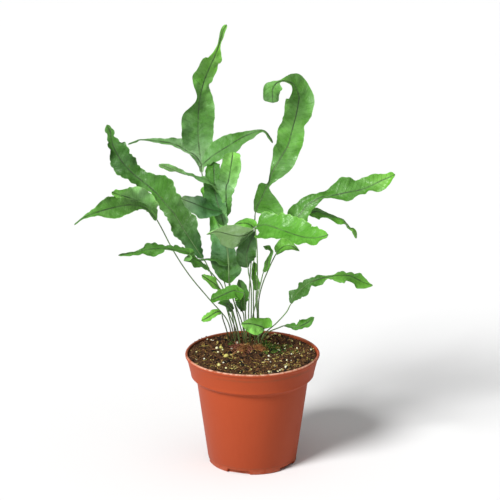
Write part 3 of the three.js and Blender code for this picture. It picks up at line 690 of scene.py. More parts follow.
def rhizomeOf(shape, material):
    bm = bmesh.new()
    for arm in shape["arms"]:
        path, radius = SmoothPath(arm["path"]), arm["radius"]
        places = [path.along(0) - path.heading(0) * radius * back for back, _ in shape["tip"]]
        radii = [radius * share for _, share in shape["tip"]]
        for step in range(shape["steps"] + 1):
            places.append(path.along(step / shape["steps"]))
            radii.append(radius * (1 + shape["swelling"] * math.sin(step * 2.1)))
        for vert in sweep(bm, places, radii, shape["sides"]):
            vert.co += vert.normal * shape["rough"] * noise.noise(vert.co * 0.6)
    return finishPiece("rhizomeStem", bm, [material], "rhizome", "rhizome")


def hairsOf(shape, material):
    chance = random.Random(shape["seed"])
    paths = [SmoothPath(arm["path"]) for arm in shape["arms"]]

    def sideways(ahead):
        aside = ahead.orthogonal().normalized()
        aside.rotate(Matrix.Rotation(chance.uniform(0, anyTurn), 3, ahead))
        return aside

    def hairAt(bm, foot, towards, long, thick, tone):
        stand = Vector((0, 0, 1)).rotation_difference(towards.normalized()).to_matrix().to_4x4()
        matrix = Matrix.Translation(foot) @ stand @ Matrix.Translation((0, 0, long / 2))
        spikeAt(bm, matrix, 3, thick, thick * 0.15, long, tone)

    def coatHair(bm, count):
        which = 0 if count % 5 < 3 else 1
        radius, path = shape["arms"][which]["radius"], paths[which]
        travelled = chance.uniform(-0.28, 0.95)
        ahead = path.heading(max(0, travelled))
        outwards = sideways(ahead)
        if travelled < 0:
            tilt = chance.random() ** 0.5 * math.pi / 2
            outwards = (outwards * math.cos(tilt) - ahead * math.sin(tilt)).normalized()
        foot = path.along(max(0, travelled)) + outwards * radius * 0.93
        lean = Vector((chance.uniform(-0.5, 0.5), chance.uniform(-0.5, 0.5), chance.uniform(-0.2, 0.5)))
        hairAt(bm, foot, outwards - ahead * 0.7 + lean, chance.uniform(*shape["hairLength"]),
               shape["hairThickness"], chance.random())

    def crownHair(bm, path):
        travelled = chance.uniform(0.2, 0.62)
        aside = sideways(path.heading(travelled))
        towards = aside + Vector((0, 0, chance.uniform(0.3, 1.6)))
        hairAt(bm, path.along(travelled) + aside * 0.7, towards, chance.uniform(0.8, 1.9),
               shape["hairThickness"] * 0.8, chance.random() * 0.8)

    coat = inBatches(range(shape["hairs"]), coatHair)
    feet = [SmoothPath(frond["stipe"][:3]) for frond in frondPieces]
    takeIn(coat, inBatches([path for path in feet for _ in range(shape["crownHairs"])], crownHair))
    return finishPiece("rhizomeHairs", coat, [material], "rhizome")


# fronds: the stipe's places, and for each blade its upper face's direction, its curl (cup, height and
# number of waves), the tints from its foot to its tip, and its rib's places with the half widths there,
# left and right, or one where they are the same
frondPieces = [
    {"node": "frond_01", "slot": "leaf_green", "stipe": [
        (-13, 33, 84), (-14, 33, 95), (-17, 33, 115), (-25, 34, 150), (-33, 34, 188), (-38, 33, 218),
    ], "blades": [
        {"face": (0, -0.94, 0.34), "faceTip": (0.55, -0.8, 0.2), "curl": (0.25, 1.6, 4.5), "bloom": 0.2,
         "frill": 0.2, "lobe": 0.8, "tints": "pale sage mid leafy bright lime", "rib": [
            (-40.5, 32, 233, 1.5), (-41, 32.5, 240.5, 3.5), (-43, 33, 259, 13, 11.5),
            (-43, 31.5, 278, 13.5, 12.5), (-42, 30.5, 290, 6, 12), (-41, 30, 296.5, 4, 10.5),
            (-39, 29, 304.5, 8.5, 5), (-37, 28, 311, 11, 6.5), (-32, 26, 323, 10.5, 6.5),
            (-30, 25.5, 327, 5, 7), (-26.5, 24.5, 336.5, 1.5), (-23.5, 23, 347.5, 3, 2),
            (-20, 23, 354, 1.5, 1),
        ]},
        {"face": (0, -0.75, 0.65), "curl": (-0.2, 0.9, 2.5), "bloom": 0.4, "tints": "pale sage mid",
         "rib": [
            (-40.5, 32, 239, 3, 3.5), (-45, 31, 246.5, 2, 8.5), (-51.5, 30.5, 250.5, 2, 11),
            (-64, 28.5, 257.5, 2, 5), (-86.5, 24, 261.5, 0.6, 1), (-92, 22.5, 260.5, 1, 1.5),
            (-98.5, 21, 258.5, 0.6, 1),
        ]},
        {"face": (0.1, -0.85, 0.5), "faceTip": (0.2, -0.6, 0.75), "curl": (0.2, 1, 3), "bloom": 0.25,
         "frill": 0.2, "lobe": 0.8, "tints": "sage mid deep", "rib": [
            (-40, 32, 239, 2.5), (-32, 24.5, 248, 8, 5.5), (-22, 18.5, 256, 10, 7.5),
            (-7.5, 10, 267, 4, 7.5), (7.5, 4, 274, 1, 2), (13.5, 2, 269, 1, 1.5), (16, 1, 264.5, 0.6, 1),
        ]},
    ]},
    {"node": "frond_02", "slot": "leaf_blue", "stipe": [
        (-6.5, 27.5, 84), (-7.5, 26, 95), (-11, 20, 112), (-18, 3, 149), (-19, -3, 172), (-21, -5.5, 193),
    ], "blades": [
        {"face": (0.1, -0.95, 0.2), "curl": (0.2, 1.2, 3), "bloom": 0.15, "tints": "waxy blue olive olive",
         "rib": [
            (-22.5, -6, 200, 2), (-24, -7, 206.5, 5), (-28, -4, 220, 8.5, 6.5), (-29.5, 1, 226.5, 8.5, 6.5),
            (-30.5, 10, 244, 5.5, 5), (-30.5, 9, 247.5, 3),
        ]},
        {"face": (-0.1, -0.7, 0.7), "curl": (0.35, 0.9, 2), "bloom": 0.3, "tints": "blue blue pale",
         "rib": [
            (-24, -7, 211, 2.5, 3), (-34, -12, 214.5, 9.5), (-39.5, -15.5, 217.5, 11.5, 7.5),
            (-44.5, -18, 220.5, 10.5, 7), (-55.5, -24, 226.5, 2, 1.5),
        ]},
        {"face": (0, -0.55, 0.8), "faceTip": (0, 0.6, 0.75), "curl": (0.2, 0.6, 2), "bloom": 0.3,
         "tints": "bright sage lime", "rib": [
            (-28, 0, 226, 5, 3.5), (-35.5, -7, 237, 6.5, 5.5), (-54.5, -14, 244, 4.5),
            (-65.5, -18, 250, 6, 7), (-72, -20, 253, 2.5, 3.5),
        ]},
        {"face": (0.15, -0.93, 0.3), "curl": (0.3, 0.8, 2), "tints": "fresh waxy lime", "rib": [
            (-22.5, -4.5, 204.5, 1.5, 2.5), (-20.5, -5, 211, 2.5, 5), (-20.5, -5, 217.5, 3, 5),
            (-20.5, -8, 231.5, 7.5, 6), (-18.5, -9, 237.5, 8, 7.5), (-15.5, -11, 257.5, 7, 6.5),
            (-15.5, -11, 260.5, 4.5, 4),
        ]},
    ]},
    {"node": "frond_03", "slot": "leaf_blue", "stipe": [
        (-6, 32, 84), (-6.5, 31, 95), (-9, 26, 110), (-16, 17, 132), (-18.5, 16.5, 142),
    ], "blades": [
        {"face": (0.15, -0.95, 0.1), "curl": (0.15, 1.1, 3.5), "bloom": 0.35, "frill": 0.6,
         "tints": "fresh deep blue leafy leafy lime", "rib": [
            (-19, 16, 145, 1.5), (-19, 15.5, 150.5, 7.5, 8), (-19, 15.5, 156, 11.5, 10.5),
            (-20, 17, 166.5, 13, 6), (-20.5, 18, 172, 12, 7), (-24.5, 21, 185.5, 10, 8.5),
            (-29, 24.5, 196, 6, 6.5), (-36.5, 29, 217.5, 5), (-38, 30, 222.5, 3),
        ]},
        {"face": (0, 0.05, 1), "curl": (-0.3, 0.3, 1), "tints": "deep mid", "rib": [
            (-20, 15.5, 161.5, 3), (-28, 14, 165.5, 4.5), (-36, 13, 166.5, 3.5), (-44, 12, 166, 0.6),
        ]},
    ]},
    {"node": "frond_04", "slot": "leaf_green", "stipe": [
        (-10, 30.5, 84), (-12, 30.5, 95), (-17, 30, 110), (-25, 28, 129), (-33, 25, 149),
        (-37.5, 23.5, 160),
    ], "blades": [
        {"face": (-0.1, -0.85, 0.5), "curl": (0.2, 1.5, 5), "bloom": 0.14, "frill": 1.1,
         "tints": "blue deep mid dark mid", "rib": [
            (-40, 24, 163.5, 1.5), (-44.5, 25.5, 170, 5), (-56, 29, 187.5, 9, 13),
            (-62, 31, 197.5, 7, 12.5), (-68, 32.5, 204.5, 6, 13), (-76.5, 35, 214, 3.5, 15.5),
            (-81.5, 36.5, 218.5, 4, 14.5), (-86.5, 38, 222.5, 5.5, 9.5), (-96, 40.5, 229.5, 7.5, 8.5),
            (-105.5, 42.5, 240, 9, 10), (-111.5, 44, 251, 4, 10), (-112.5, 44.5, 255.5, 3, 5),
            (-113.5, 45, 259.5, 3, 2.5), (-114, 45, 263.5, 4, 3.5), (-116.5, 45, 269, 1.5),
        ]},
    ]},
    {"node": "frond_05", "slot": "leaf_bright", "stipe": [
        (-16, 29, 84), (-17, 28, 95), (-21, 26, 111), (-35, 18, 131), (-50, 7, 154), (-62, -3, 177),
        (-71, -10, 198),
    ], "blades": [
        {"face": (0, -0.9, 0.45), "curl": (0.25, 1.8, 3.5), "frill": 0.8, "tints": "leafy waxy lime",
         "rib": [
            (-75.5, -14, 208, 1.5, 2), (-79.5, -20, 216, 2, 7.5), (-84.5, -24.5, 222, 4.5, 10),
            (-90.5, -28.5, 226.5, 5, 10.5), (-96.5, -32.5, 230, 5, 7.5), (-106, -39.5, 235, 2, 3),
            (-107.5, -41, 236.5, 0.6),
        ]},
        {"face": (0.1, -0.85, 0.5), "curl": (0.3, 0.9, 3), "frill": 0.5, "lobe": 1.2,
         "tints": "fresh deep mid fresh", "rib": [
            (-75, -16, 207.5, 2, 1.5), (-83, -26, 219.5, 1.5, 2.5), (-94, -35, 224.5, 6.5, 4.5),
            (-107.5, -44, 224.5, 10.5, 9), (-120, -51, 222.5, 3.5, 4), (-129, -55, 219.5, 1),
            (-135.5, -58, 215, 0.6),
        ]},
    ]},
    {"node": "frond_06", "slot": "leaf_green", "stipe": [
        (-10, 25.5, 84), (-10.5, 24, 95), (-16, 16, 120), (-24, 3, 146), (-29, -3.5, 155.5),
    ], "blades": [
        {"face": (0.1, -0.55, 0.85), "curl": (0.3, 1.5, 4), "frill": 1.2, "tints": "leafy mid mid", "rib": [
            (-34.5, -6, 163, 3.5, 2), (-41.5, -11.5, 171.5, 7, 3), (-46, -14.5, 174, 8, 3),
            (-49.5, -17.5, 178, 7, 4), (-52, -20, 182, 5, 4.5), (-68, -28.5, 187.5, 3),
            (-72, -30.5, 188, 6, 3.5), (-80, -34, 188.5, 7, 3.5), (-87, -36.5, 187.5, 5, 1.5),
            (-103.5, -43, 186.5, 1, 0.6),
        ]},
    ]},
    {"node": "frond_07", "slot": "leaf_blue", "stipe": [
        (-2.5, 26.5, 84), (-2.5, 25.5, 95), (-1, 20, 113), (-1, 10, 142), (-3, 4.5, 157),
    ], "blades": [
        {"face": (0.1, -0.95, 0.25), "curl": (0.35, 1, 2), "bloom": 0.2, "tints": "deep deep dark", "rib": [
            (-3.5, 3, 162.5, 2, 1.5), (-4.5, 1.5, 168, 9, 5.5), (-4.5, 0.5, 174.5, 9.5, 7.5),
            (-3, -0.5, 181, 9, 7), (-1, -1.5, 186.5, 5, 5.5), (2.5, -3, 194.5, 0.6),
        ]},
    ]},
    {"node": "frond_08", "slot": "leaf_green", "stipe": [
        (-2, 31.5, 84), (-2.5, 30.5, 95), (-3, 26.5, 118), (-1.5, 21, 155), (0.5, 15, 176), (1, 8.5, 188),
    ], "blades": [
        {"face": (0, 0.85, 0.45), "curl": (-0.3, 0.8, 2), "tints": "milky milky milky", "rib": [
            (0.5, 5.5, 192.5, 3.5, 2), (-4.5, 1, 190.5, 8, 4), (-13, -8.5, 192, 18.5, 11),
            (-27.5, -17.5, 198, 8.5, 3.5), (-36, -20, 196.5, 1.5, 0.6),
        ]},
        {"face": (0.1, -0.85, 0.5), "curl": (0.3, 0.5, 1), "bloom": 0.05, "tints": "lime lime", "rib": [
            (1, 4.5, 194.5, 2), (-2.5, 1, 198.5, 4.5, 5), (-7.5, -2.5, 200.5, 4, 3),
            (-14.5, -6.5, 200.5, 0.6),
        ]},
    ]},
    {"node": "frond_09", "slot": "leaf_green", "stipe": [
        (2, 29.5, 84), (2, 28.5, 95), (1, 27, 118), (1, 24, 153), (2, 20, 184), (2, 17.5, 199),
    ], "blades": [
        {"face": (0, -0.95, 0.25), "faceTip": (0.1, -0.85, 0.5), "curl": (0.2, 1.3, 6), "bloom": 0.2,
         "frill": 0.25, "lobe": 0.8, "tints": "leafy mid mid leafy olive leafy sage", "rib": [
            (2.5, 16, 204.5, 1.5, 2), (4.5, 15.5, 210.5, 3.5, 20), (7, 14.5, 215.5, 5.5, 19.5),
            (11, 13.5, 225, 6.5, 4), (13, 13, 228.5, 1.5, 2), (15, 12, 236.5, 1.5, 8),
            (19.5, 12, 245, 5.5, 11.5), (24, 11.5, 253, 8.5, 12), (28, 11, 260.5, 9.5, 11),
            (31, 9.5, 272.5, 11, 10), (32.5, 9, 278.5, 10, 8.5), (34, 8.5, 284.5, 10, 11),
            (36, 7, 296, 10.5, 12.5), (36, 5.5, 301.5, 9.5, 11), (32, 1.5, 311, 3, 9.5),
            (24.5, -6.5, 315.5, 1, 2.5), (20, -10.5, 315.5, 1.5), (17.5, -13, 314, 6, 4.5),
            (15.5, -16, 310.5, 6, 7.5), (15.5, -18.5, 302.5, 5, 7), (15.5, -19, 301, 3, 3.5),
        ]},
    ]},
    {"node": "frond_10", "slot": "leaf_bright", "stipe": [
        (5, 22, 84), (5, 20.5, 95), (4, 17, 122), (4, 2, 160), (3.5, -11, 185), (2.5, -16, 197),
    ], "blades": [
        {"face": (0.1, -0.75, 0.65), "curl": (0.2, 1.6, 4), "bloom": 0, "frill": 1.2, "foot": 14,
         "tints": "mid fresh fresh leafy", "rib": [
            (3, -18, 202, 2.5, 3.5), (5, -20.5, 203.5, 8.5, 5), (9.5, -24.5, 205.5, 10.5, 10),
            (14.5, -28.5, 205.5, 10.5, 19), (24.5, -38, 204.5, 14, 11.5), (34, -46.5, 203.5, 14, 9.5),
            (39.5, -51.5, 203.5, 12, 10), (44.5, -55, 204, 10, 7), (49, -58, 205, 8.5, 7),
            (55.5, -61, 207.5, 5, 4), (57.5, -62, 208.5, 2.5),
        ]},
    ]},
    {"node": "frond_11", "slot": "leaf_green", "stipe": [
        (6, 28.5, 84), (6, 27.5, 95), (5, 25, 124), (8, 22, 141.5), (14, 19, 158), (17.5, 18, 166),
    ], "blades": [
        {"face": (-0.1, -0.75, 0.65), "curl": (0.25, 1.6, 5), "bloom": 0.03, "frill": 0.4, "lobe": 1.2,
         "tints": "lime mid mid mid bright", "rib": [
            (19.5, 17, 170, 2, 2.5), (27.5, 18, 182, 5, 6.5), (36.5, 19.5, 199, 9, 8.5),
            (40.5, 20, 204.5, 9.5, 7), (44.5, 20.5, 209.5, 8, 7.5), (54.5, 21.5, 215, 5.5, 2.5),
            (61, 22.5, 215.5, 8, 2.5), (73, 23.5, 218, 12.5, 9), (84.5, 24.5, 220, 10, 5),
            (88.5, 25, 221, 9.5, 7), (92.5, 25.5, 222.5, 9.5, 5), (103.5, 27, 227.5, 6, 8),
            (114, 28, 232, 2, 2.5),
        ]},
        {"face": (0, -0.7, 0.7), "curl": (0.3, 0.7, 2), "tints": "leafy bright", "rib": [
            (19.5, 17, 170, 1.5, 3), (22, 15, 173.5, 4), (26, 12.5, 177, 5, 6.5), (31, 10, 178, 3, 7),
            (37.5, 6, 175, 0.6, 1),
        ]},
        {"face": (0.1, -0.2, 1), "curl": (-0.2, 0.8, 2.5), "tints": "leafy leafy bright", "rib": [
            (37, 19.5, 198.5, 3.5, 2.5), (43, 23, 202, 3.5, 2), (48, 25.5, 201.5, 5, 3),
            (52.5, 28.5, 201.5, 10.5, 6.5), (57.5, 31, 199, 7, 5.5), (63.5, 33.5, 195.5, 4.5, 5),
            (72.5, 37, 192.5, 9, 5.5), (79, 39.5, 184.5, 2), (82, 40.5, 182.5, 2.5, 3), (85, 42, 175, 1.5),
        ]},
    ]},
    {"node": "frond_12", "slot": "leaf_green", "stipe": [
        (-1.5, 22, 84), (-1.5, 21, 95), (0, 15, 115), (4.5, 7.5, 138), (7.5, 6.5, 152),
    ], "blades": [
        {"face": (-0.5, -0.8, 0.2), "curl": (0.2, 0.4, 2), "tints": "leafy mid", "rib": [
            (9, 6.5, 157.5, 1), (11.5, 6, 161.5, 2), (12, 6, 166, 2, 3), (15, 5, 174, 1, 2),
            (14, 4, 177, 1.5), (11.5, 2.5, 179, 2.5, 3), (8.5, 1, 180.5, 0.6, 1),
        ]},
    ]},
    {"node": "frond_13", "slot": "leaf_green", "stipe": [
        (1.5, 25, 84), (2, 24.5, 95), (4, 22, 115), (3, 18, 127), (3, 15, 137),
    ], "blades": [
        {"face": (0.3, -0.9, 0.2), "curl": (0.3, 0.5, 2), "tints": "fresh bright", "rib": [
            (3, 13, 140, 1.5, 1), (3, 12, 143.5, 2.5, 3.5), (1, 10.5, 154.5, 3, 2),
            (1.5, 10.5, 160, 3, 2.5), (1.5, 11, 164.5, 1.5),
        ]},
    ]},
    {"node": "frond_14", "slot": "leaf_bright", "stipe": [
        (-14, 23, 84), (-14.5, 21.5, 95), (-17, 14, 110), (-21, 4, 129), (-24, -4, 142),
    ], "blades": [
        {"face": (0, -0.7, 0.7), "curl": (0.3, 0.4, 1.5), "bloom": 0.05, "tints": "bright lime", "rib": [
            (-25.5, -7, 147.5, 2, 1), (-31, -11.5, 154, 5, 3.5), (-38, -15, 160, 4, 2.5),
            (-40, -16, 162, 2, 1.5),
        ]},
    ]},
    {"node": "frond_15", "slot": "leaf_bright", "stipe": [
        (-5, 19.5, 84), (-5, 18, 95), (-5, 10, 111), (-6, -8, 134), (-6.5, -14, 144),
    ], "blades": [
        {"face": (0, -0.6, 0.8), "curl": (0.25, 0.4, 1.5), "bloom": 0, "frill": 0.9,
         "tints": "leafy mid olive", "rib": [
            (-7, -17, 147.5, 2.5, 1.5), (-11.5, -18.5, 149, 9.5, 4), (-16, -20, 150, 9.5, 6),
            (-29.5, -26, 145.5, 4), (-33, -27, 144.5, 2.5, 2),
        ]},
    ]},
    {"node": "frond_16", "slot": "leaf_blue", "stipe": [
        (-6.5, 23.5, 84), (-6.5, 22.5, 95), (-6.5, 21, 107), (-7, 18.5, 117),
    ], "blades": [
        {"face": (0.3, -0.9, 0.2), "curl": (0.2, 0.9, 2.5), "tints": "deep mid mid", "rib": [
            (-8, 17, 121, 2, 2.5), (-9, 14, 130, 4.5), (-8, 12, 138, 5.5, 5), (-10, 11, 145, 4.5, 5),
            (-11, 10, 150, 0.8),
        ]},
    ]},
    {"node": "frond_17", "slot": "leaf_blue", "stipe": [
        (-10, 20.5, 84), (-10.5, 19, 95), (-12, 12, 108), (-15, 3.5, 123),
    ], "blades": [
        {"face": (0, -0.8, 0.55), "curl": (0.2, 0.5, 1.5), "tints": "deep mid", "rib": [
            (-16, 1, 127, 2), (-19, -4, 133, 4.5, 3.5), (-23, -8, 136, 4, 3), (-27.5, -11, 137, 0.6),
        ]},
    ]},
    {"node": "frond_18", "slot": "leaf_bright", "stipe": [
        (-19, 26, 84), (-19.5, 25.5, 94), (-21, 22, 103), (-24, 16, 115),
    ], "blades": [
        {"face": (-0.1, -0.75, 0.65), "curl": (0.2, 0.7, 2.5), "bloom": 0.05, "frill": 0.9,
         "tints": "bright lime", "rib": [
            (-25, 13, 121.5, 1.5), (-29, 9.5, 122.5, 3), (-37.5, 4.5, 118.5, 3.5, 3),
            (-41, 3, 117.5, 2, 1.5),
        ]},
    ]},
    {"node": "frond_19", "slot": "leaf_green", "stipe": [
        (1.5, 18.5, 84), (1.8, 17.5, 93), (4, 11, 100), (7.5, 5, 106),
    ], "blades": [
        {"face": (0.1, -0.85, 0.5), "curl": (0.3, 0.4, 1.5), "tints": "lime lime lime", "rib": [
            (9.5, 2, 110.5, 2, 1.5), (7.5, -0.5, 113.5, 5, 7), (-0.5, -6.5, 118, 9, 4.5),
            (-9, -12, 120, 1.5, 1),
        ]},
    ]},
    {"node": "frond_20", "slot": "leaf_green", "stipe": [
        (6.5, 18.5, 84), (6.8, 17.5, 93), (10, 13.5, 103), (19, 9, 113), (27, 4, 124), (30, 0.8, 131),
    ], "blades": [
        {"face": (0, -0.5, 0.87), "curl": (0.25, 1.3, 5), "bloom": 0.15, "frill": 1.2,
         "tints": "deep deep mid lime leafy bright", "rib": [
            (31, -1, 133.5, 1, 1.5), (32, -1.5, 137, 2.5), (33.5, -2, 139.5, 6, 4.5),
            (38.5, -3.5, 146, 5, 10), (41.5, -4.5, 149, 4, 10.5), (45, -5.5, 152, 4, 4.5),
            (52, -7.5, 155.5, 2.5, 9), (59, -9.5, 158, 1, 2), (65, -12, 160, 2, 7.5), (69, -14, 161, 4, 7),
            (73, -15.5, 161.5, 3, 8), (77, -17, 161.5, 4.5, 11), (80.5, -19, 160.5, 4, 8.5),
            (84.5, -20, 158.5, 5.5, 8), (88.5, -21.5, 157, 3.5, 7), (94.5, -23, 155.5, 1, 1.5),
        ]},
    ]},
    {"node": "frond_21", "slot": "leaf_green", "stipe": [
        (8, 25, 84), (8.5, 24, 94), (13, 19.5, 102), (21, 15.5, 107),
    ], "blades": [
        {"face": (0, -0.7, 0.7), "curl": (0.25, 0.8, 2), "frill": 0.8, "tints": "mid mid", "rib": [
            (26, 12.5, 110, 1), (31.5, 9, 110.5, 4, 2), (34.5, 7, 110.5, 2.5, 4),
            (37.5, 5.5, 111.5, 4.5, 4), (44, 2, 116, 3, 5.5), (49.5, 0, 121.5, 1, 1.5),
        ]},
    ]},
]

leafShape = {
    "step": 1, "across": 20, "thickness": 0.22, "least": 0.6, "calm": 5, "lag": 2.1, "foot": 3, "tip": 2.2,
    "frill": 0.45, "frillStep": 6.5, "frillDrift": 3.5, "lobe": 1.9, "lobeStep": 0.12, "fineWave": 1.3,
    "fineStep": 0.16, "flap": 5.5, "flapStep": 0.055, "pucker": 1.7, "puckerStep": 0.17, "quilt": 0.34,
    "groove": 0.16, "grooveWidth": 0.55, "veinStep": 3.8, "fineVeinStep": 1.5, "veinSlant": 0.62,
    "bloom": 0.1, "stemRadius": 0.5, "stemEnd": 0.35, "stemTaper": 14, "stemSides": 8, "stemStep": 2.5,
    "ribRadius": 0.62, "sideRib": 0.7, "ribTip": 0.16, "ribEnd": 0.97, "crowding": 1.4, "bluntFoot": 0.35,
}
greens = {
    "milky": (0.5, 0.78, 0.36), "pale": (0.315, 0.496, 0.245), "waxy": (0.235, 0.487, 0.168),
    "sage": (0.132, 0.314, 0.085), "lime": (0.254, 0.653, 0.095), "bright": (0.178, 0.477, 0.047),
    "leafy": (0.126, 0.382, 0.039), "fresh": (0.1, 0.319, 0.033), "mid": (0.072, 0.227, 0.025),
    "olive": (0.06, 0.213, 0.014), "deep": (0.047, 0.139, 0.018), "dark": (0.023, 0.101, 0.007),
    "blue": (0.053, 0.17, 0.047),
}
leafTones = {  # the first five multiply the tint
    # paintedShade and paintedSheen are painted shade and painted sheen, laid on as mottles
    "paintedShade": (0.62, 0.76, 0.44), "paintedSheen": (1.45, 1.25, 1.7), "net": (1.3, 1.2, 1.1),
    "vein": (0.6, 0.68, 0.6), "fineVein": (0.66, 0.76, 0.68),
    "underside": (0.2, 0.34, 0.15), "rib": (0.028, 0.05, 0.018),
    "speck": (0.14, 0.09, 0.02), "stem": (0.09, 0.17, 0.05), "paleStem": (0.19, 0.33, 0.115),
    "stemFoot": (0.1, 0.1, 0.038),
}


def leafFinish(name, roughness, bloomTone, glow):
    finish = Finish(name, {"Specular IOR Level": 0.36})
    where = finish.place()
    leafPlace = finish.attribute("leafPlace", "Vector")
    under = 1 - finish.attribute("leafSide")
    along = finish.axis(leafPlace, "X")
    reach = abs(finish.axis(leafPlace, "Y"))
    across = abs(finish.axis(leafPlace, "Z"))
    tint = finish.attribute("leafTint", "Color")
    bloomShare = finish.attribute("leafTint", "Alpha")
    clouds = finish.spots(where, 70, 4, 0.6)
    patches = finish.spots(where, 150, 3, 0.6)
    pores = finish.spots(where, 1300, 2, 0.6)

    def slantedLines(step, stray, start, end):
        turns = (along - reach * leafShape["veinSlant"] + patches * stray) * (math.pi / step)
        return finish.fade(abs(finish.node("Math", {"operation": "SINE"}, {0: turns})), start, end)

    veins = slantedLines(leafShape["veinStep"], 1.6, 0.2, 0.03)
    fineVeins = slantedLines(leafShape["fineVeinStep"], 1.2, 0.8, 0.1)
    netPlace = finish.stretched(leafPlace, (0.42, 0.5, 0))
    net = finish.node("TexVoronoi", {"feature": "DISTANCE_TO_EDGE"}, {"Vector": netPlace, "Scale": 1.0})
    netLines = finish.fade(net, 0.09, 0.01)
    rib = finish.fade(reach, 0.72, 0.3) * (0.5 + 0.5 * finish.fade(patches, 0.38, 0.58))
    specks = finish.fade(finish.spots(where, 420, 2, 0.4), 0.74, 0.78)
    color = finish.layered(
        tint,
        # painted shade: darker saturated mottles; painted sheen: paler whitish mottles
        (finish.fade(clouds, 0.42, 0.58) * 0.6, leafTones["paintedShade"], "MULTIPLY"),
        (finish.fade(patches, 0.46, 0.62) * 0.45, leafTones["paintedSheen"], "MULTIPLY"),
        (finish.fade(clouds, 0.62, 0.38) * bloomShare, bloomTone),
        (netLines * 0.16, leafTones["net"], "MULTIPLY"),
        (veins * finish.fade(across, 0.98, 0.8) * 0.34, leafTones["vein"], "MULTIPLY"),
        (fineVeins * finish.fade(patches, 0.3, 0.6) * 0.4, leafTones["fineVein"], "MULTIPLY"),
        (finish.fade(across, 0.9, 1) * 0.5, glow),
        (under * 0.3, leafTones["underside"]),
        (rib * 0.85, leafTones["rib"]),
        (specks * 0.6, leafTones["speck"]),
    )
    rough = roughness + 0.2 * clouds - 0.1 * pores + under * 0.2
    height = patches * 0.5 + pores * 0.16 - veins * 0.5 - netLines * 0.22
    return finish.wear(color, rough, height, 0.6, 0.0007)


def stemFinish():
    finish = Finish("frondStem", {"Roughness": 0.42, "Specular IOR Level": 0.45})
    where = finish.place()
    blotch = finish.spots(where, 90, 3, 0.6)
    browning = finish.fade(finish.axis(where, "Z") + blotch * 0.04, 0.13, 0.105)
    color = finish.layered(
        leafTones["stem"],
        (finish.fade(blotch, 0.35, 0.65), leafTones["paleStem"]),
        (browning, leafTones["stemFoot"]),
    )
    return finish.wear(color, None, finish.spots(where, 1500, 2), 0.3, 0.0003)


def tintAt(names, share):
    last = len(names) - 1
    step = min(int(share * last), last - 1)
    return Vector(greens[names[step]]).lerp(Vector(greens[names[step + 1]]), share * last - step)


def rowsOf(blade, shape):  # the midrib in even steps: place, upper face, left side, half widths
    path = SmoothPath([row[:3] for row in blade["rib"]])
    halves = SmoothPath([(row[3], row[-1], 0) for row in blade["rib"]])
    steps = round(path.lengths[-1] / shape["step"])
    rows = []
    for step in range(steps + 1):
        share = path.share(step / steps)
        ahead = path.heading(step / steps)
        normal = Vector(blade["face"]).lerp(Vector(blade.get("faceTip", blade["face"])), step / steps)
        normal = (normal - ahead * normal.dot(ahead)).normalized()
        rows.append((path.at(share), normal, normal.cross(ahead), halves.at(share)))
    return rows, path.lengths[-1]


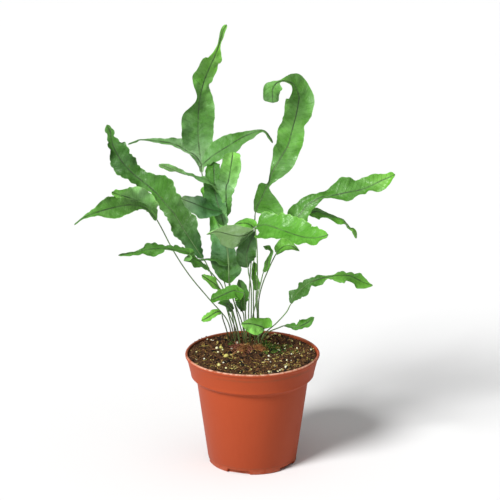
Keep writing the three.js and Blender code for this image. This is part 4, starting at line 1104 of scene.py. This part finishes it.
def bladeOf(bm, blade, rows, length, shape, seed, layers):
    steps = len(rows) - 1
    cup, waveHeight, waves = blade["curl"]
    tints = blade["tints"].split()
    upper = bmesh.ops.create_grid(bm, x_segments=steps, y_segments=shape["across"], size=0.5)["verts"]
    under, _ = grownFrom(bm, facesOf(upper))
    faces = facesOf(upper + under)

    def stir(x, y, layer):
        return noise.noise(Vector((x, y, seed + layer)))

    for side, vert in [(1, vert) for vert in upper] + [(-1, vert) for vert in under]:
        travelled = vert.co.x + 0.5
        across = math.copysign(abs(vert.co.y * 2) ** shape["crowding"], vert.co.y)
        place, normal, aside, half = rows[round(travelled * steps)]
        margin = abs(across)
        hand = 1 if across > 0 else -1
        along = length * travelled
        tip = min(1, length * (1 - travelled) / shape["tip"])
        foot = min(1, (along + 0.6) / blade.get("foot", shape["foot"]))
        ends = math.sqrt(max(0.002, 1 - (1 - tip) ** 2))
        ends *= shape["bluntFoot"] + (1 - shape["bluntFoot"]) * math.sqrt(1 - (1 - foot) ** 2)
        wide = max(shape["least"], half.x if across > 0 else half.y)
        reach = margin * wide * ends
        fade = min(1, reach / shape["calm"])
        drift = shape["frillDrift"] * stir(along * 0.12, hand * 3.7, 0)
        scallop = abs(math.sin(math.pi * (along + drift) / shape["frillStep"] + hand)) - 0.6
        scallop += 0.5 * stir(along * 0.5, hand * 2.9, 7)
        lobe = stir(along * shape["lobeStep"], hand * 5.1, 57)
        reach += blade.get("frill", shape["frill"]) * margin ** 3 * min(1, wide * ends / 3) * scallop
        reach += blade.get("lobe", shape["lobe"]) * margin ** 2 * min(1, wide * ends / 6) * lobe
        lift = cup * margin
        angle = fullTurn * waves * travelled + (0 if across > 0 else shape["lag"])
        wave = waveHeight * margin ** 2 * fade * math.sin(angle)
        wave += shape["fineWave"] * margin ** 2 * fade * stir(along * shape["fineStep"], hand * 2.3, 20)
        wave += shape["flap"] * margin * fade * stir(along * shape["flapStep"], hand * 1.7, 31)
        dent = stir(along * shape["puckerStep"], hand * reach * shape["puckerStep"], 43)
        wave += shape["pucker"] * fade * dent
        turns = math.pi * (along - abs(reach) * shape["veinSlant"]) / shape["veinStep"]
        quilt = -shape["quilt"] * (1 - abs(math.sin(turns))) ** 2 * fade * (1 - margin ** 6)
        thick = shape["thickness"] * (1 - 0.6 * margin ** 4)
        if side > 0:
            thick -= shape["groove"] * math.exp(-(reach / shape["grooveWidth"]) ** 2)
        vert.co = (place + aside * (hand * reach * math.cos(lift))
                   + normal * (reach * math.sin(lift) + wave + quilt + side * thick))
        vert[layers["leafPlace"]] = (along, hand * reach, across)
        vert[layers["leafSide"]] = side * 0.5 + 0.5
        vert[layers["leafTint"]] = (*tintAt(tints, travelled), blade.get("bloom", shape["bloom"]))
    bmesh.ops.recalc_face_normals(bm, faces=faces)
    smoothFaces(faces)
    topVerts, underVerts = set(upper), set(under)
    for face in faces:
        if not (set(face.verts) <= topVerts or set(face.verts) <= underVerts):
            for edge in face.edges:
                edge.smooth = False


def ribOf(bm, rows, length, shape, thick):  # the raised midrib under a blade
    places, radii = [], []
    steps = max(6, round(length / shape["stemStep"]))
    for step in range(steps + 1):
        share = step / steps * shape["ribEnd"]
        place, normal, _, _ = rows[round(share * (len(rows) - 1))]
        radii.append(thick * (1 - share) + shape["ribTip"] * share)
        places.append(place - normal * (0.1 + radii[-1] * 0.55))
    return sweep(bm, places, radii, shape["stemSides"])


def frondOf(frond, shape, materials, seed):
    bm = bmesh.new()
    layers = {
        "leafPlace": bm.verts.layers.float_vector.new("leafPlace"),
        "leafSide": bm.verts.layers.float.new("leafSide"),
        "leafTint": bm.verts.layers.float_color.new("leafTint"),
    }
    stems = []
    ribs = [rowsOf(blade, shape) for blade in frond["blades"]]
    for count, (rows, length) in enumerate(ribs):
        stems += ribOf(bm, rows, length, shape, shape["ribRadius"] * (shape["sideRib"] if count else 1))
    stem = SmoothPath(frond["stipe"] + [row[:3] for row in frond["blades"][0]["rib"][:2]])
    steps = round(stem.lengths[-1] / shape["stemStep"])
    places, radii = [], []
    for step in range(steps + 1):
        places.append(stem.along(step / steps))
        ahead = (1 - step / steps) * stem.lengths[-1]
        radii.append(shape["stemRadius"] * min(1, shape["stemEnd"] + ahead / shape["stemTaper"]))
    stems += sweep(bm, places, radii, shape["stemSides"])
    for face in facesOf(stems):
        face.material_index = 1
    for count, (blade, (rows, length)) in enumerate(zip(frond["blades"], ribs)):
        bladeOf(bm, blade, rows, length, shape, seed + count * 3.3, layers)
    return finishPiece("leaf" + frond["node"][-2:], bm, materials, frond["slot"], frond["node"])


rhizomeOf(rhizomeShape, rhizomeFinish())
hairsOf(rhizomeShape, bitFinish("rhizomeHairs", rhizomeShape["hairTones"], 400))
print("rhizome made, with its hairs")

stemMaterial = stemFinish()
leafMaterials = {  # the slot's name, then the roughness, the bloom's tone and the margin's
    "leaf_green": leafFinish("frondGreen", 0.36, (0.2, 0.36, 0.17), (0.16, 0.4, 0.08)),
    "leaf_bright": leafFinish("frondBright", 0.32, (0.26, 0.5, 0.16), (0.28, 0.6, 0.12)),
    "leaf_blue": leafFinish("frondBlue", 0.4, (0.16, 0.32, 0.17), (0.13, 0.32, 0.09)),
}
leaves = [frondOf(frond, leafShape, [leafMaterials[frond["slot"]], stemMaterial], 10 + 4.7 * count)
          for count, frond in enumerate(frondPieces)]
print("fronds made:", len(leaves), "with", sum(len(leaf.data.polygons) for leaf in leaves), "faces")
